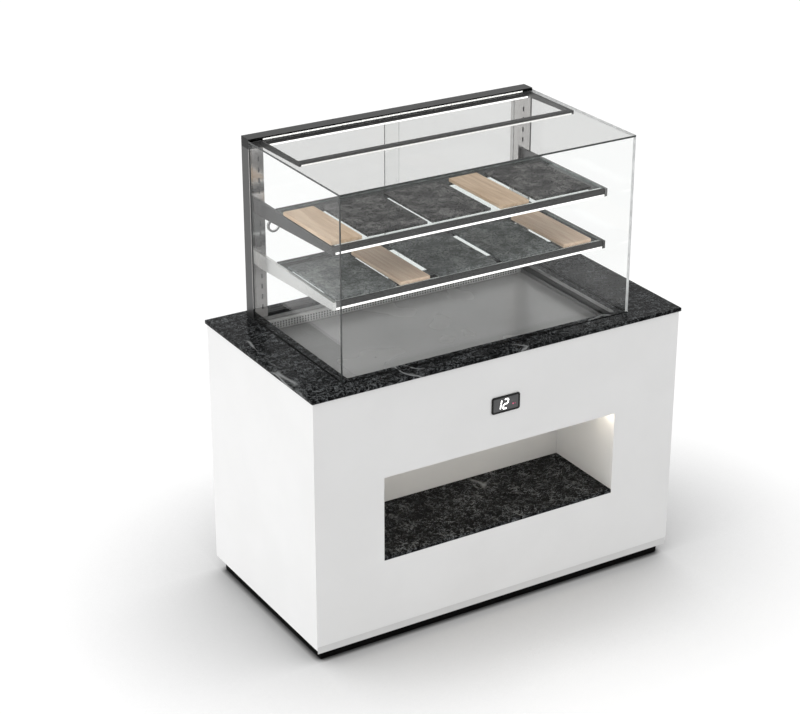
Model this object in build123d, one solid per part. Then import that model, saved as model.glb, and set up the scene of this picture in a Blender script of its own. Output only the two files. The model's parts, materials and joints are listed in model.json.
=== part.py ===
from build123d import *
import os

# Refrigerated buffet counter, in millimetres.
# The origin is on the floor under the middle of the worktop.
# +X runs to the right of a guest in front, +Y runs to the staff side, +Z is up.

# Worktop and cabinet
WORKTOP_WIDTH = 1350.0
WORKTOP_DEPTH = 700.0
WORKTOP_HEIGHT = 900.0
STONE_T = 12.0
STONE_ARRIS = 1.0
OVERHANG = 5.0
PANEL_T = 18.0
PANEL_SEAM = 1.0
BASE_GAP = 36.0
BASE_RAIL_HEIGHT = 24.0
BASE_RAIL_SETBACK = 2.0
SIDE_PANEL_GAP = 48.0
REAR_SPLIT_HEIGHT = 420.0

# Steel frame, plinth and feet
TUBE = 30.0
TUBE_WALL = 2.0
FRAME_GAP = 46.0
PLINTH_SETBACK = 22.0
PLINTH_T = 16.0
PLINTH_FLOOR_GAP = 3.0
FOOT_SIDE_INSET = 132.0
FOOT_END_INSET = 87.0
FOOT_DIAMETER = 50.0
FOOT_PAD_T = 8.0
FOOT_STEM_DIAMETER = 12.0
FOOT_NUT_DIAMETER = 22.0
FOOT_NUT_T = 8.0
BASE_PLATE_T = 2.0
BASE_PLATE_FIT = 1.0

# Open niche in the front
NICHE_SIDE_MARGIN = 240.0
NICHE_TOP_MARGIN = 306.0
NICHE_BASE = 296.0
NICHE_DEPTH = 310.0
LINER_T = 8.0
NICHE_STONE_FIT = 0.5
NICHE_LAMP_WIDTH = 16.0
NICHE_LAMP_T = 8.0
NICHE_LAMP_END_GAP = 8.0

# Temperature controller
CONTROLLER_X = 5.0
CONTROLLER_DROP = 163.0
BEZEL_WIDTH = 104.0
BEZEL_HEIGHT = 56.0
BEZEL_T = 4.0
BEZEL_RADIUS = 8.0
BEZEL_RIM = 6.0
WINDOW_T = 1.5
WINDOW_SUNK = 0.5
WINDOW_FIT = 0.2
CONTROLLER_BODY_WIDTH = 92.0
CONTROLLER_BODY_HEIGHT = 44.0
CONTROLLER_BODY_DEPTH = 46.0
CONTROLLER_FIT = 1.0

# Refrigerated well, which takes three 325 by 530 food trays
WELL_SIDE_GAP = 33.0
WELL_FRONT_GAP = 27.0
WELL_CORNER = 4.0
TUB_REVEAL = 3.0
TUB_T = 2.0
TUB_HEIGHT = 198.0
TUB_FLANGE = 15.0
DECK_DROP = 43.0
DECK_T = 3.0
DECK_LIP = 12.0
DECK_SIDE_FIT = 5.0
RETURN_SLOT = 16.0
LEDGE_T = 2.0
FRONT_LEDGE = 28.0
REAR_LEDGE = 34.0
LEDGE_VENT_BAR = 33.0
LEDGE_VENT_DEPTH = 10.0
LEDGE_VENTS = 8
PLENUM = 17.0
GRILLE_T = 2.0
GRILLE_END_FIT = 0.5
GRILLE_HOLE_DIAMETER = 5.0
GRILLE_HOLE_PITCH = 10.0
GRILLE_ROW_PITCH = 8.0
GRILLE_ROWS = 3
GRILLE_MARGIN = 27.0
INSULATION_T = 25.0
INSULATION_TOP_GAP = 2.0

# Glass case
CASE_LEFT_GAP = 134.0
CASE_RIGHT_GAP = 170.0
CASE_FRONT_GAP = 60.0
CASE_REAR_GAP = 30.0
CASE_HEIGHT = 590.0
GLASS_T = 6.0
UPRIGHT_WIDTH = 50.0
UPRIGHT_DEPTH = 48.0
UPRIGHT_WALL = 3.0
CHANNEL_T = 2.0
SLOT_WIDTH = 5.0
SLOT_HEIGHT = 16.0
SLOT_PITCH = 35.0
SLOT_END_GAP = 20.0
BEAM_HEIGHT = 27.0
BEAM_PROUD = 5.0
BEAM_LAMP = 5.0
UPPER_LAMP_GAP = 38.0

# Rear sliding doors
TRACK_WIDTH = 34.0
TOP_TRACK_HEIGHT = 22.0
TOP_GROOVE_DEPTH = 18.0
BOTTOM_TRACK_HEIGHT = 10.0
BOTTOM_GROOVE_DEPTH = 6.0
GROOVE_WIDTH = 8.0
GROOVE_SPACING = 16.0
DOOR_T = 5.0
DOOR_OVERLAP = 44.0
DOOR_JAMB_FIT = 1.0
DOOR_RUN_FIT = 0.3
DOOR_TOP_ENTRY = 10.0
PULL_EDGE = 36.0
PULL_RISE = 6.5
PULL_HOLE_DIAMETER = 36.0
PULL_BORE_DIAMETER = 30.0
PULL_FLANGE_DIAMETER = 44.0
PULL_FLANGE_T = 1.5
PULL_FIT = 0.2

# Shelves and the lamp frame under the top glass
UPPER_SHELF_RISE = 393.0
SHELF_DROP_SLOTS = 5
BRACKET_EDGE = 33.0
BRACKET_T = 10.0
BRACKET_REAR_HEIGHT = 50.0
BRACKET_FRONT_HEIGHT = 26.0
BRACKET_NOSE = 2.0
HOOK_T = 4.0
HOOK_HEIGHT = 8.0
HOOK_REACH = 10.0
HOOK_LIP = 6.0
HOOK_LIP_T = 6.0
SHELF_FRONT_GAP = 98.0
RAIL_DEPTH = 22.0
RAIL_LIP_T = 2.0
SHELF_GLASS_DROP = 4.0
SHELF_LAMP_HEIGHT = 7.0
SHELF_LAMP_DEPTH = 4.0
SHELF_GLASS_FIT = 1.0
REAR_RAIL_HEIGHT = 8.0
REAR_RAIL_DEPTH = 66.0
REAR_STOP_DEPTH = 10.0
REAR_STOP_HEIGHT = 6.0
SHELF_REAR_GAP = 94.0
BOARD_REAR_GAP = 55.0
SLATE_WIDTH = 210.0
SLATE_T = 8.0
WOOD_WIDTH = 105.0
WOOD_T = 12.0
# Each board: its kind, its gap on the left and its gap in front
UPPER_BOARDS = (("wood", -9.0, 5.0), ("slate", 22.0, 13.0), ("slate", 16.0, 13.0), ("wood", 30.0, 5.0),
                ("slate", 30.0, 13.0))
LOWER_BOARDS = (("slate", 4.0, 3.0), ("wood", 12.0, 3.0), ("slate", 31.0, 3.0), ("slate", 24.0, 3.0),
                ("wood", 19.0, 3.0))
ARM_T = 8.0
ARM_REAR_HEIGHT = 18.0
RIGHT_ARM_GAP = 2.0
LIGHT_BAR_REACH = 245.0
LIGHT_BAR_DEPTH = 20.0
LIGHT_BAR_HEIGHT = 12.0
BAR_LAMP_HEIGHT = 5.0

# Rear service door and vents
DOOR_SIDE_FIT = 2.0
DOOR_SEAM = 3.0
PIVOT_DIAMETER = 8.0
PIVOT_LENGTH = 28.0
PIVOT_SEAT = 15.0
PIVOT_CLEARANCE = 0.05
FINGER_HOLE_DIAMETER = 34.0
FINGER_HOLE_EDGE = 45.0
VENT_SLOT_HEIGHT = 9.0
VENT_PITCH = 26.0
VENT_ROWS = 10
VENT_WIDTH = 300.0
VENT_HEIGHT = 225.0
GLAND_LEFT_GAP = 92.0
GLAND_HEIGHT = 120.0
GLAND_THREAD_DIAMETER = 20.0
GLAND_HEX = 26.0
GLAND_HEAD_T = 4.0
GLAND_NUT_T = 5.0
GLAND_BORE_DIAMETER = 8.0
GLAND_BORE_DEPTH = 14.0

# Refrigeration machinery
COIL_LEFT_GAP = 211.0
COIL_PIPE_ROOM = 100.0
COIL_REAR_GAP = 115.0
COIL_DEPTH = 100.0
COIL_HEIGHT = 120.0
FIN_T = 2.0
FIN_PITCH = 20.0
COIL_TUBE_DIAMETER = 10.0
COIL_ROW_PITCH = 50.0
COIL_LEVEL_PITCH = 40.0
COIL_STUB = 15.0
COOLER_FAN_GAP = 100.0
COOLER_FAN_SIZE = 150.0
COOLER_FAN_DEPTH = 38.0
COOLER_FAN_BLADES = 7
CONDENSER_LEFT_GAP = 372.0
CONDENSER_WIDTH = 300.0
CONDENSER_DEPTH = 60.0
CONDENSER_HEIGHT = 260.0
CONDENSER_REAR_GAP = 10.0
CONDENSER_STUB = 12.0
CONDENSER_FAN_SIZE = 260.0
CONDENSER_FAN_DEPTH = 60.0
CONDENSER_FAN_BLADES = 5
SHAFT_DIAMETER = 6.0
SHAFT_CLEARANCE = 0.05
FAN_TIP_GAP = 4.0
FAN_WALL = 5.0
COMPRESSOR_RIGHT_GAP = 322.0
COMPRESSOR_REAR_GAP = 197.0
COMPRESSOR_DIAMETER = 150.0
COMPRESSOR_HEIGHT = 180.0
COMPRESSOR_FOOT_HEIGHT = 16.0
COMPRESSOR_FOOT_DIAMETER = 28.0
COMPRESSOR_PLATE_T = 4.0
COMPRESSOR_STUB = 18.0
SUCTION_PIPE_DIAMETER = 10.0
DISCHARGE_PIPE_DIAMETER = 8.0
LIQUID_PIPE_DIAMETER = 6.0
PIPE_WALL = 1.0
PIPE_BEND = 25.0
PIPE_HOLE_FIT = 1.0
DRIER_DIAMETER = 28.0
DRIER_LENGTH = 130.0
DRIER_GAP = 66.0
DRAIN_LEFT_GAP = 252.0
DRAIN_NICHE_GAP = 67.0
DRAIN_DIAMETER = 24.0
DRAIN_WALL = 2.0
DRAIN_END_GAP = 12.0
TRAY_WIDTH = 140.0
TRAY_DEPTH = 100.0
TRAY_HEIGHT = 30.0
TRAY_WALL = 2.0

# Cabinet faces
CABINET_X = WORKTOP_WIDTH / 2 - OVERHANG
FRONT_Y = OVERHANG - WORKTOP_DEPTH / 2
REAR_Y = WORKTOP_DEPTH / 2 - OVERHANG
INNER_X = CABINET_X - PANEL_T
INNER_FRONT_Y = FRONT_Y + PANEL_T
INNER_REAR_Y = REAR_Y - PANEL_T
STONE_Z = WORKTOP_HEIGHT - STONE_T
BASE_RAIL_TOP = BASE_GAP + BASE_RAIL_HEIGHT
FRONT_PANEL_Z = BASE_RAIL_TOP + PANEL_SEAM
FRAME_TOP = FRAME_GAP + TUBE
FLOOR_Z = FRAME_TOP + BASE_PLATE_T
FOOT_X = INNER_X - FOOT_SIDE_INSET
FOOT_Y = INNER_REAR_Y - FOOT_END_INSET
GLAND_X = GLAND_LEFT_GAP - INNER_X

# Niche faces and the controller's place
CONTROLLER_Z = STONE_Z - CONTROLLER_DROP
NICHE_X = CABINET_X - NICHE_SIDE_MARGIN
NICHE_TOP = STONE_Z - NICHE_TOP_MARGIN
NICHE_BACK_Y = FRONT_Y + NICHE_DEPTH
NICHE_BEARER_Z = NICHE_BASE - LINER_T - TUBE

# Case and well faces
CASE_X0 = CASE_LEFT_GAP - WORKTOP_WIDTH / 2
CASE_X1 = WORKTOP_WIDTH / 2 - CASE_RIGHT_GAP
CASE_Y0 = CASE_FRONT_GAP - WORKTOP_DEPTH / 2
CASE_Y1 = WORKTOP_DEPTH / 2 - CASE_REAR_GAP
CASE_TOP = WORKTOP_HEIGHT + CASE_HEIGHT
UPRIGHT_Y0 = CASE_Y1 - UPRIGHT_DEPTH
BEAM_Z = CASE_TOP - BEAM_HEIGHT
OPENING_X0 = CASE_X0 + UPRIGHT_WIDTH
OPENING_X1 = CASE_X1 - UPRIGHT_WIDTH
WELL_X0 = CASE_X0 + WELL_SIDE_GAP
WELL_X1 = CASE_X1 - WELL_SIDE_GAP
WELL_Y0 = CASE_Y0 + WELL_FRONT_GAP
WELL_Y1 = UPRIGHT_Y0
TUB_X0 = WELL_X0 - TUB_REVEAL
TUB_X1 = WELL_X1 + TUB_REVEAL
TUB_Y0 = WELL_Y0 - TUB_REVEAL
TUB_Y1 = WELL_Y1 + TUB_REVEAL
TUB_FLOOR = STONE_Z - TUB_HEIGHT
DECK_TOP = WORKTOP_HEIGHT - DECK_DROP
DECK_Z = DECK_TOP - DECK_T
GRILLE_Y = TUB_Y1 - PLENUM
GRILLE_COLUMNS = int((TUB_X1 - TUB_X0 - 2 * GRILLE_MARGIN) / GRILLE_HOLE_PITCH) + 1
LEDGE_VENT_PITCH = (TUB_X1 - TUB_X0) / LEDGE_VENTS

# Shelf stations
BRACKET_XS = (CASE_X0 + BRACKET_EDGE, CASE_X1 - BRACKET_EDGE)
RAIL_X0 = BRACKET_XS[0] + BRACKET_T / 2
RAIL_X1 = BRACKET_XS[1] - BRACKET_T / 2
UPPER_SHELF_HEIGHT = WORKTOP_HEIGHT + UPPER_SHELF_RISE
LOWER_SHELF_HEIGHT = UPPER_SHELF_HEIGHT - SHELF_DROP_SLOTS * SLOT_PITCH
SHELF_HEIGHTS = (LOWER_SHELF_HEIGHT, UPPER_SHELF_HEIGHT)
SHELF_FRONT_Y = CASE_Y0 + SHELF_FRONT_GAP
REAR_STOP_Y = UPRIGHT_Y0 - SHELF_REAR_GAP - REAR_STOP_DEPTH
SHELF_GLASS_Y = SHELF_FRONT_Y + RAIL_LIP_T + SHELF_GLASS_FIT
BOARD_Y1 = REAR_STOP_Y - SHELF_GLASS_FIT - BOARD_REAR_GAP
ARM_TOP = CASE_TOP - GLASS_T
ARM_XS = (OPENING_X0, CASE_X1 - GLASS_T - RIGHT_ARM_GAP - ARM_T)
LIGHT_BAR_Y = UPRIGHT_Y0 - LIGHT_BAR_REACH

# Door lines
DOOR_SPAN = OPENING_X1 - OPENING_X0 - 2 * DOOR_JAMB_FIT
DOOR_WIDTH = (DOOR_SPAN + DOOR_OVERLAP) / 2
LEFT_DOOR_X = OPENING_X0 + DOOR_JAMB_FIT
RIGHT_DOOR_X = OPENING_X1 - DOOR_JAMB_FIT - DOOR_WIDTH
DOOR_Z0 = WORKTOP_HEIGHT + BOTTOM_TRACK_HEIGHT - BOTTOM_GROOVE_DEPTH + DOOR_RUN_FIT
DOOR_Z1 = BEAM_Z + DOOR_TOP_ENTRY
TRACK_Y = (UPRIGHT_Y0 + CASE_Y1) / 2
LEFT_DOOR_Y = TRACK_Y - GROOVE_SPACING / 2
RIGHT_DOOR_Y = TRACK_Y + GROOVE_SPACING / 2
PULL_Z = (DOOR_Z0 + DOOR_Z1) / 2 + PULL_RISE
SERVICE_X1 = INNER_X - DOOR_SIDE_FIT
SERVICE_X0 = DOOR_SEAM
SERVICE_Z0 = BASE_RAIL_TOP + DOOR_SEAM
SERVICE_Z1 = REAR_SPLIT_HEIGHT - DOOR_SEAM
PIVOT_X = SERVICE_X1 - PANEL_T / 2
PIVOT_Y = (INNER_REAR_Y + REAR_Y) / 2

# Machinery places
COMPRESSOR_X = INNER_X - COMPRESSOR_RIGHT_GAP
COMPRESSOR_Y = INNER_REAR_Y - COMPRESSOR_REAR_GAP
SUCTION_X = COMPRESSOR_X - COMPRESSOR_DIAMETER * 0.2
COIL_X0 = TUB_X0 + COIL_LEFT_GAP
COIL_X1 = SUCTION_X - COIL_PIPE_ROOM
COIL_X = (COIL_X0 + COIL_X1) / 2
COIL_Y = TUB_Y1 - COIL_REAR_GAP
COOLER_FAN_Y = COIL_Y - COOLER_FAN_GAP
CONDENSER_X = CONDENSER_LEFT_GAP - INNER_X
DRAIN_X = DRAIN_LEFT_GAP - INNER_X
DRAIN_Y = NICHE_BACK_Y + LINER_T + DRAIN_NICHE_GAP
COIL_Z = TUB_FLOOR + COIL_HEIGHT / 2
COIL_STUB_X = COIL_X1 + COIL_STUB
LIQUID_IN = (COIL_STUB_X, COIL_Y + COIL_ROW_PITCH / 2, COIL_Z - COIL_LEVEL_PITCH / 2)
SUCTION_OUT = (COIL_STUB_X, COIL_Y - COIL_ROW_PITCH / 2, COIL_Z + COIL_LEVEL_PITCH / 2)
CONDENSER_Y1 = INNER_REAR_Y - TUBE - CONDENSER_REAR_GAP
CONDENSER_Y0 = CONDENSER_Y1 - CONDENSER_DEPTH
CONDENSER_X1 = CONDENSER_X + CONDENSER_WIDTH / 2
CONDENSER_STUB_X = CONDENSER_X1 + CONDENSER_STUB
CONDENSER_TUBE_Y = (CONDENSER_Y0 + CONDENSER_Y1) / 2
CONDENSER_IN_Z = FLOOR_Z + CONDENSER_HEIGHT * 0.85
CONDENSER_OUT_Z = FLOOR_Z + CONDENSER_HEIGHT * 0.15
CONDENSER_FAN_Y = CONDENSER_Y0 - CONDENSER_FAN_DEPTH / 2
CONDENSER_FAN_Z = FLOOR_Z + CONDENSER_FAN_SIZE / 2
COOLER_FAN_Z = TUB_FLOOR + COOLER_FAN_SIZE / 2
COMPRESSOR_BASE = FLOOR_Z + COMPRESSOR_FOOT_HEIGHT + COMPRESSOR_PLATE_T
COMPRESSOR_TOP = COMPRESSOR_BASE + COMPRESSOR_HEIGHT
DISCHARGE_Z = COMPRESSOR_BASE + COMPRESSOR_HEIGHT * 0.55
DISCHARGE_X = COMPRESSOR_X - COMPRESSOR_DIAMETER / 2 - COMPRESSOR_STUB
DRIER_X0 = CONDENSER_STUB_X + DRIER_GAP
DRIER_X1 = DRIER_X0 + DRIER_LENGTH
LIQUID_RISER_X = COIL_STUB_X + PIPE_BEND * 1.2


def block(x0, x1, y0, y1, z0, z1):
    """A box between two corners."""
    middle = Pos((x0 + x1) / 2, (y0 + y1) / 2, (z0 + z1) / 2)
    return middle * Box(x1 - x0, y1 - y0, z1 - z0)


def rod(start, end, radius):
    """A round bar from one point to another."""
    run = Vector(*end) - Vector(*start)
    plane = Plane(origin=start, z_dir=run)
    return plane * Cylinder(radius, run.length, align=(Align.CENTER, Align.CENTER, Align.MIN))


def prism_x(points, x0, x1):
    """A profile of (y, z) points drawn out along X."""
    plane = Plane(origin=(x0, 0, 0), x_dir=(0, 1, 0), z_dir=(1, 0, 0))
    return extrude(plane * Polygon(*points, align=None), amount=x1 - x0, dir=(1, 0, 0))


def prism_z(points, z0, z1):
    """A plan of (x, y) points drawn up along Z."""
    plane = Plane(origin=(0, 0, z0))
    return extrude(plane * Polygon(*points, align=None), amount=z1 - z0, dir=(0, 0, 1))


def plate_y(width, height, radius, x, z, y0, y1):
    """A round-cornered plate that faces the guest, from y0 back to y1."""
    plane = Plane(origin=(x, y0, z), x_dir=(1, 0, 0), z_dir=(0, -1, 0))
    return extrude(plane * RectangleRounded(width, height, radius), amount=y1 - y0, dir=(0, 1, 0))


def tube(x0, x1, y0, y1, z0, z1, axis):
    """A square steel tube, open at both ends along its axis."""
    low = [x0, y0, z0]
    high = [x1, y1, z1]
    for i in range(3):
        if i != axis:
            low[i] += TUBE_WALL
            high[i] -= TUBE_WALL
    return block(x0, x1, y0, y1, z0, z1) - block(low[0], high[0], low[1], high[1], low[2], high[2])


def pipe(points, diameter):
    """A bent copper pipe along square corners."""
    path = FilletPolyline(*points, radius=PIPE_BEND)
    start = Plane(origin=path @ 0, z_dir=path % 0)
    section = start * (Circle(diameter / 2) - Circle(diameter / 2 - PIPE_WALL))
    return sweep(section, path=path)


def fuse(pieces):
    """One solid out of touching pieces."""
    body = pieces[0]
    return body + pieces[1:]


# Cabinet

def mitred_front(setback, z0, z1):
    """A front board with mitred ends, its face set back from the cabinet front."""
    y0 = FRONT_Y + setback
    x0 = CABINET_X - setback
    plan = [(-x0, y0), (x0, y0), (INNER_X, INNER_FRONT_Y), (-INNER_X, INNER_FRONT_Y)]
    return prism_z(plan, z0, z1)


def front_panel():
    niche = block(-NICHE_X, NICHE_X, FRONT_Y, INNER_FRONT_Y, NICHE_BASE, NICHE_TOP)
    half_width = CONTROLLER_BODY_WIDTH / 2 + CONTROLLER_FIT
    half_height = CONTROLLER_BODY_HEIGHT / 2 + CONTROLLER_FIT
    cutout = block(CONTROLLER_X - half_width, CONTROLLER_X + half_width, FRONT_Y, INNER_FRONT_Y,
                   CONTROLLER_Z - half_height, CONTROLLER_Z + half_height)
    return mitred_front(0, FRONT_PANEL_Z, STONE_Z) - niche - cutout


def side_panel(side):
    plan = [(side * CABINET_X, FRONT_Y), (side * CABINET_X, REAR_Y),
            (side * INNER_X, REAR_Y), (side * INNER_X, INNER_FRONT_Y)]
    return prism_z(plan, SIDE_PANEL_GAP, STONE_Z)


def base_rails():
    front = mitred_front(BASE_RAIL_SETBACK, BASE_GAP, BASE_RAIL_TOP)
    rear = block(-INNER_X, INNER_X, INNER_REAR_Y, REAR_Y, BASE_GAP, BASE_RAIL_TOP)
    seat_length = PIVOT_LENGTH - PIVOT_SEAT
    seat = rod((PIVOT_X, PIVOT_Y, BASE_RAIL_TOP - seat_length), (PIVOT_X, PIVOT_Y, BASE_RAIL_TOP),
               PIVOT_DIAMETER / 2 + PIVOT_CLEARANCE)
    return [front, rear - seat]


def rear_panel():
    panel = block(-INNER_X, INNER_X, INNER_REAR_Y, REAR_Y, REAR_SPLIT_HEIGHT, STONE_Z)
    seat_length = PIVOT_LENGTH - PIVOT_SEAT
    seat = rod((PIVOT_X, PIVOT_Y, REAR_SPLIT_HEIGHT), (PIVOT_X, PIVOT_Y, REAR_SPLIT_HEIGHT + seat_length),
               PIVOT_DIAMETER / 2 + PIVOT_CLEARANCE)
    return panel - seat


def vent_slots(x):
    """Rows of air slots cut through a rear board."""
    first = VENT_HEIGHT - (VENT_ROWS - 1) * VENT_PITCH / 2
    slots = []
    for row in range(VENT_ROWS):
        z = first + row * VENT_PITCH
        plane = Plane(origin=(x, INNER_REAR_Y, z), x_dir=(1, 0, 0), z_dir=(0, -1, 0))
        outline = plane * SlotOverall(VENT_WIDTH, VENT_SLOT_HEIGHT)
        slots.append(extrude(outline, amount=PANEL_T, dir=(0, 1, 0)))
    return slots


def rear_vent_panel():
    panel = block(-INNER_X, -PANEL_SEAM, INNER_REAR_Y, REAR_Y, BASE_RAIL_TOP + PANEL_SEAM,
                  REAR_SPLIT_HEIGHT - PANEL_SEAM)
    gland_hole = rod((GLAND_X, INNER_REAR_Y, GLAND_HEIGHT), (GLAND_X, REAR_Y, GLAND_HEIGHT),
                     GLAND_THREAD_DIAMETER / 2)
    return panel - vent_slots(CONDENSER_X) - gland_hole


def service_door():
    leaf = block(SERVICE_X0, PIVOT_X, INNER_REAR_Y, REAR_Y, SERVICE_Z0, SERVICE_Z1)
    hinge_edge = rod((PIVOT_X, PIVOT_Y, SERVICE_Z0), (PIVOT_X, PIVOT_Y, SERVICE_Z1), PANEL_T / 2)
    finger_x = SERVICE_X0 + FINGER_HOLE_EDGE
    finger_z = (SERVICE_Z0 + SERVICE_Z1) / 2
    finger_hole = rod((finger_x, INNER_REAR_Y, finger_z), (finger_x, REAR_Y, finger_z),
                      FINGER_HOLE_DIAMETER / 2)
    door = fuse([leaf, hinge_edge]) - vent_slots(COMPRESSOR_X) - finger_hole
    for z0, z1 in ((SERVICE_Z0, SERVICE_Z0 + PIVOT_SEAT), (SERVICE_Z1 - PIVOT_SEAT, SERVICE_Z1)):
        door -= rod((PIVOT_X, PIVOT_Y, z0), (PIVOT_X, PIVOT_Y, z1), PIVOT_DIAMETER / 2)
    return door


def service_door_pivots():
    foot = SERVICE_Z0 + PIVOT_SEAT
    head = SERVICE_Z1 - PIVOT_SEAT
    lower = rod((PIVOT_X, PIVOT_Y, foot - PIVOT_LENGTH), (PIVOT_X, PIVOT_Y, foot), PIVOT_DIAMETER / 2)
    upper = rod((PIVOT_X, PIVOT_Y, head), (PIVOT_X, PIVOT_Y, head + PIVOT_LENGTH), PIVOT_DIAMETER / 2)
    return [lower, upper]


def cable_gland():
    thread = rod((GLAND_X, INNER_REAR_Y - GLAND_NUT_T, GLAND_HEIGHT), (GLAND_X, REAR_Y, GLAND_HEIGHT),
                 GLAND_THREAD_DIAMETER / 2)
    head_plane = Plane(origin=(GLAND_X, REAR_Y, GLAND_HEIGHT), z_dir=(0, 1, 0))
    nut_plane = Plane(origin=(GLAND_X, INNER_REAR_Y, GLAND_HEIGHT), z_dir=(0, -1, 0))
    head = extrude(head_plane * RegularPolygon(GLAND_HEX / 2, 6), amount=GLAND_HEAD_T)
    nut = extrude(nut_plane * RegularPolygon(GLAND_HEX / 2, 6), amount=GLAND_NUT_T)
    mouth = REAR_Y + GLAND_HEAD_T
    bore = rod((GLAND_X, mouth - GLAND_BORE_DEPTH, GLAND_HEIGHT), (GLAND_X, mouth, GLAND_HEIGHT),
               GLAND_BORE_DIAMETER / 2)
    return fuse([thread, head, nut]) - bore


def plinth_boards():
    x = CABINET_X - PLINTH_SETBACK
    y = REAR_Y - PLINTH_SETBACK
    front = block(-x, x, -y, -y + PLINTH_T, PLINTH_FLOOR_GAP, FRAME_GAP)
    rear = block(-x, x, y - PLINTH_T, y, PLINTH_FLOOR_GAP, FRAME_GAP)
    left = block(-x, -x + PLINTH_T, -y + PLINTH_T, y - PLINTH_T, PLINTH_FLOOR_GAP, FRAME_GAP)
    right = block(x - PLINTH_T, x, -y + PLINTH_T, y - PLINTH_T, PLINTH_FLOOR_GAP, FRAME_GAP)
    return [front, rear, left, right]


def levelling_feet():
    feet = []
    for x in (-FOOT_X, FOOT_X):
        for y in (-FOOT_Y, FOOT_Y):
            pad = rod((x, y, 0), (x, y, FOOT_PAD_T), FOOT_DIAMETER / 2)
            pad = chamfer(pad.edges().group_by(Axis.Z)[-1], FOOT_PAD_T / 4)
            stem = rod((x, y, FOOT_PAD_T), (x, y, FRAME_GAP), FOOT_STEM_DIAMETER / 2)
            nut_plane = Plane(origin=(x, y, FRAME_GAP - FOOT_NUT_T))
            nut = extrude(nut_plane * RegularPolygon(FOOT_NUT_DIAMETER / 2, 6), amount=FOOT_NUT_T)
            feet.append(fuse([pad, stem, nut]))
    return feet


def steel_frame():
    """The welded tube frame: base ring with two bearers, posts, side rails, niche bearers and top ring."""
    x = INNER_X
    y0 = INNER_FRONT_Y
    y1 = INNER_REAR_Y
    inner = x - TUBE
    tubes = []
    for z in (FRAME_GAP, STONE_Z - TUBE):
        tubes.append(tube(-x, x, y0, y0 + TUBE, z, z + TUBE, 0))
        tubes.append(tube(-x, x, y1 - TUBE, y1, z, z + TUBE, 0))
        tubes.append(tube(-x, -inner, y0 + TUBE, y1 - TUBE, z, z + TUBE, 1))
        tubes.append(tube(inner, x, y0 + TUBE, y1 - TUBE, z, z + TUBE, 1))
    for foot_x in (-FOOT_X, FOOT_X):
        x0 = foot_x - TUBE / 2
        tubes.append(tube(x0, x0 + TUBE, y0 + TUBE, y1 - TUBE, FRAME_GAP, FRAME_TOP, 1))
    for side in (-1, 1):
        post_x0 = min(side * x, side * inner)
        tubes.append(tube(post_x0, post_x0 + TUBE, y0, y0 + TUBE, FRAME_TOP, STONE_Z - TUBE, 2))
        tubes.append(tube(post_x0, post_x0 + TUBE, y1 - TUBE, y1, FRAME_TOP, STONE_Z - TUBE, 2))
        tubes.append(tube(post_x0, post_x0 + TUBE, y0 + TUBE, y1 - TUBE,
                          NICHE_BEARER_Z, NICHE_BEARER_Z + TUBE, 1))
    for bearer_y in (y0, NICHE_BACK_Y - TUBE):
        tubes.append(tube(-inner, inner, bearer_y, bearer_y + TUBE, NICHE_BEARER_Z, NICHE_BEARER_Z + TUBE, 0))
    split_z = REAR_SPLIT_HEIGHT - TUBE / 2
    tubes.append(tube(-inner, inner, y1 - TUBE, y1, split_z, split_z + TUBE, 0))
    return tubes


def base_plate():
    x = INNER_X - TUBE - BASE_PLATE_FIT
    y = INNER_REAR_Y - TUBE - BASE_PLATE_FIT
    return block(-x, x, -y, y, FRAME_TOP, FLOOR_Z)


# Niche and controller

def niche_liner():
    shell = block(-NICHE_X - LINER_T, NICHE_X + LINER_T, INNER_FRONT_Y, NICHE_BACK_Y + LINER_T,
                  NICHE_BASE - LINER_T, NICHE_TOP + LINER_T)
    return shell - block(-NICHE_X, NICHE_X, INNER_FRONT_Y, NICHE_BACK_Y, NICHE_BASE, NICHE_TOP)


def niche_stone_shelf():
    x = NICHE_X - NICHE_STONE_FIT
    return block(-x, x, FRONT_Y, NICHE_BACK_Y - NICHE_STONE_FIT, NICHE_BASE, NICHE_BASE + STONE_T)


def niche_lamp():
    x = NICHE_X - NICHE_LAMP_END_GAP
    y0 = INNER_FRONT_Y
    return block(-x, x, y0, y0 + NICHE_LAMP_WIDTH, NICHE_TOP - NICHE_LAMP_T, NICHE_TOP)


def controller():
    bezel = plate_y(BEZEL_WIDTH, BEZEL_HEIGHT, BEZEL_RADIUS, CONTROLLER_X, CONTROLLER_Z,
                    FRONT_Y - BEZEL_T, FRONT_Y)
    half_width = CONTROLLER_BODY_WIDTH / 2
    half_height = CONTROLLER_BODY_HEIGHT / 2
    housing = block(CONTROLLER_X - half_width, CONTROLLER_X + half_width,
                    FRONT_Y, FRONT_Y + CONTROLLER_BODY_DEPTH,
                    CONTROLLER_Z - half_height, CONTROLLER_Z + half_height)
    recess = plate_y(BEZEL_WIDTH - 2 * BEZEL_RIM, BEZEL_HEIGHT - 2 * BEZEL_RIM, BEZEL_RADIUS / 2,
                     CONTROLLER_X, CONTROLLER_Z,
                     FRONT_Y - BEZEL_T, FRONT_Y - BEZEL_T + WINDOW_SUNK + WINDOW_T)
    return fuse([bezel, housing]) - recess


def controller_window():
    rim = BEZEL_RIM + WINDOW_FIT
    y0 = FRONT_Y - BEZEL_T + WINDOW_SUNK
    return plate_y(BEZEL_WIDTH - 2 * rim, BEZEL_HEIGHT - 2 * rim, BEZEL_RADIUS / 2 - WINDOW_FIT,
                   CONTROLLER_X, CONTROLLER_Z, y0, y0 + WINDOW_T)


# Worktop and well

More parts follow.
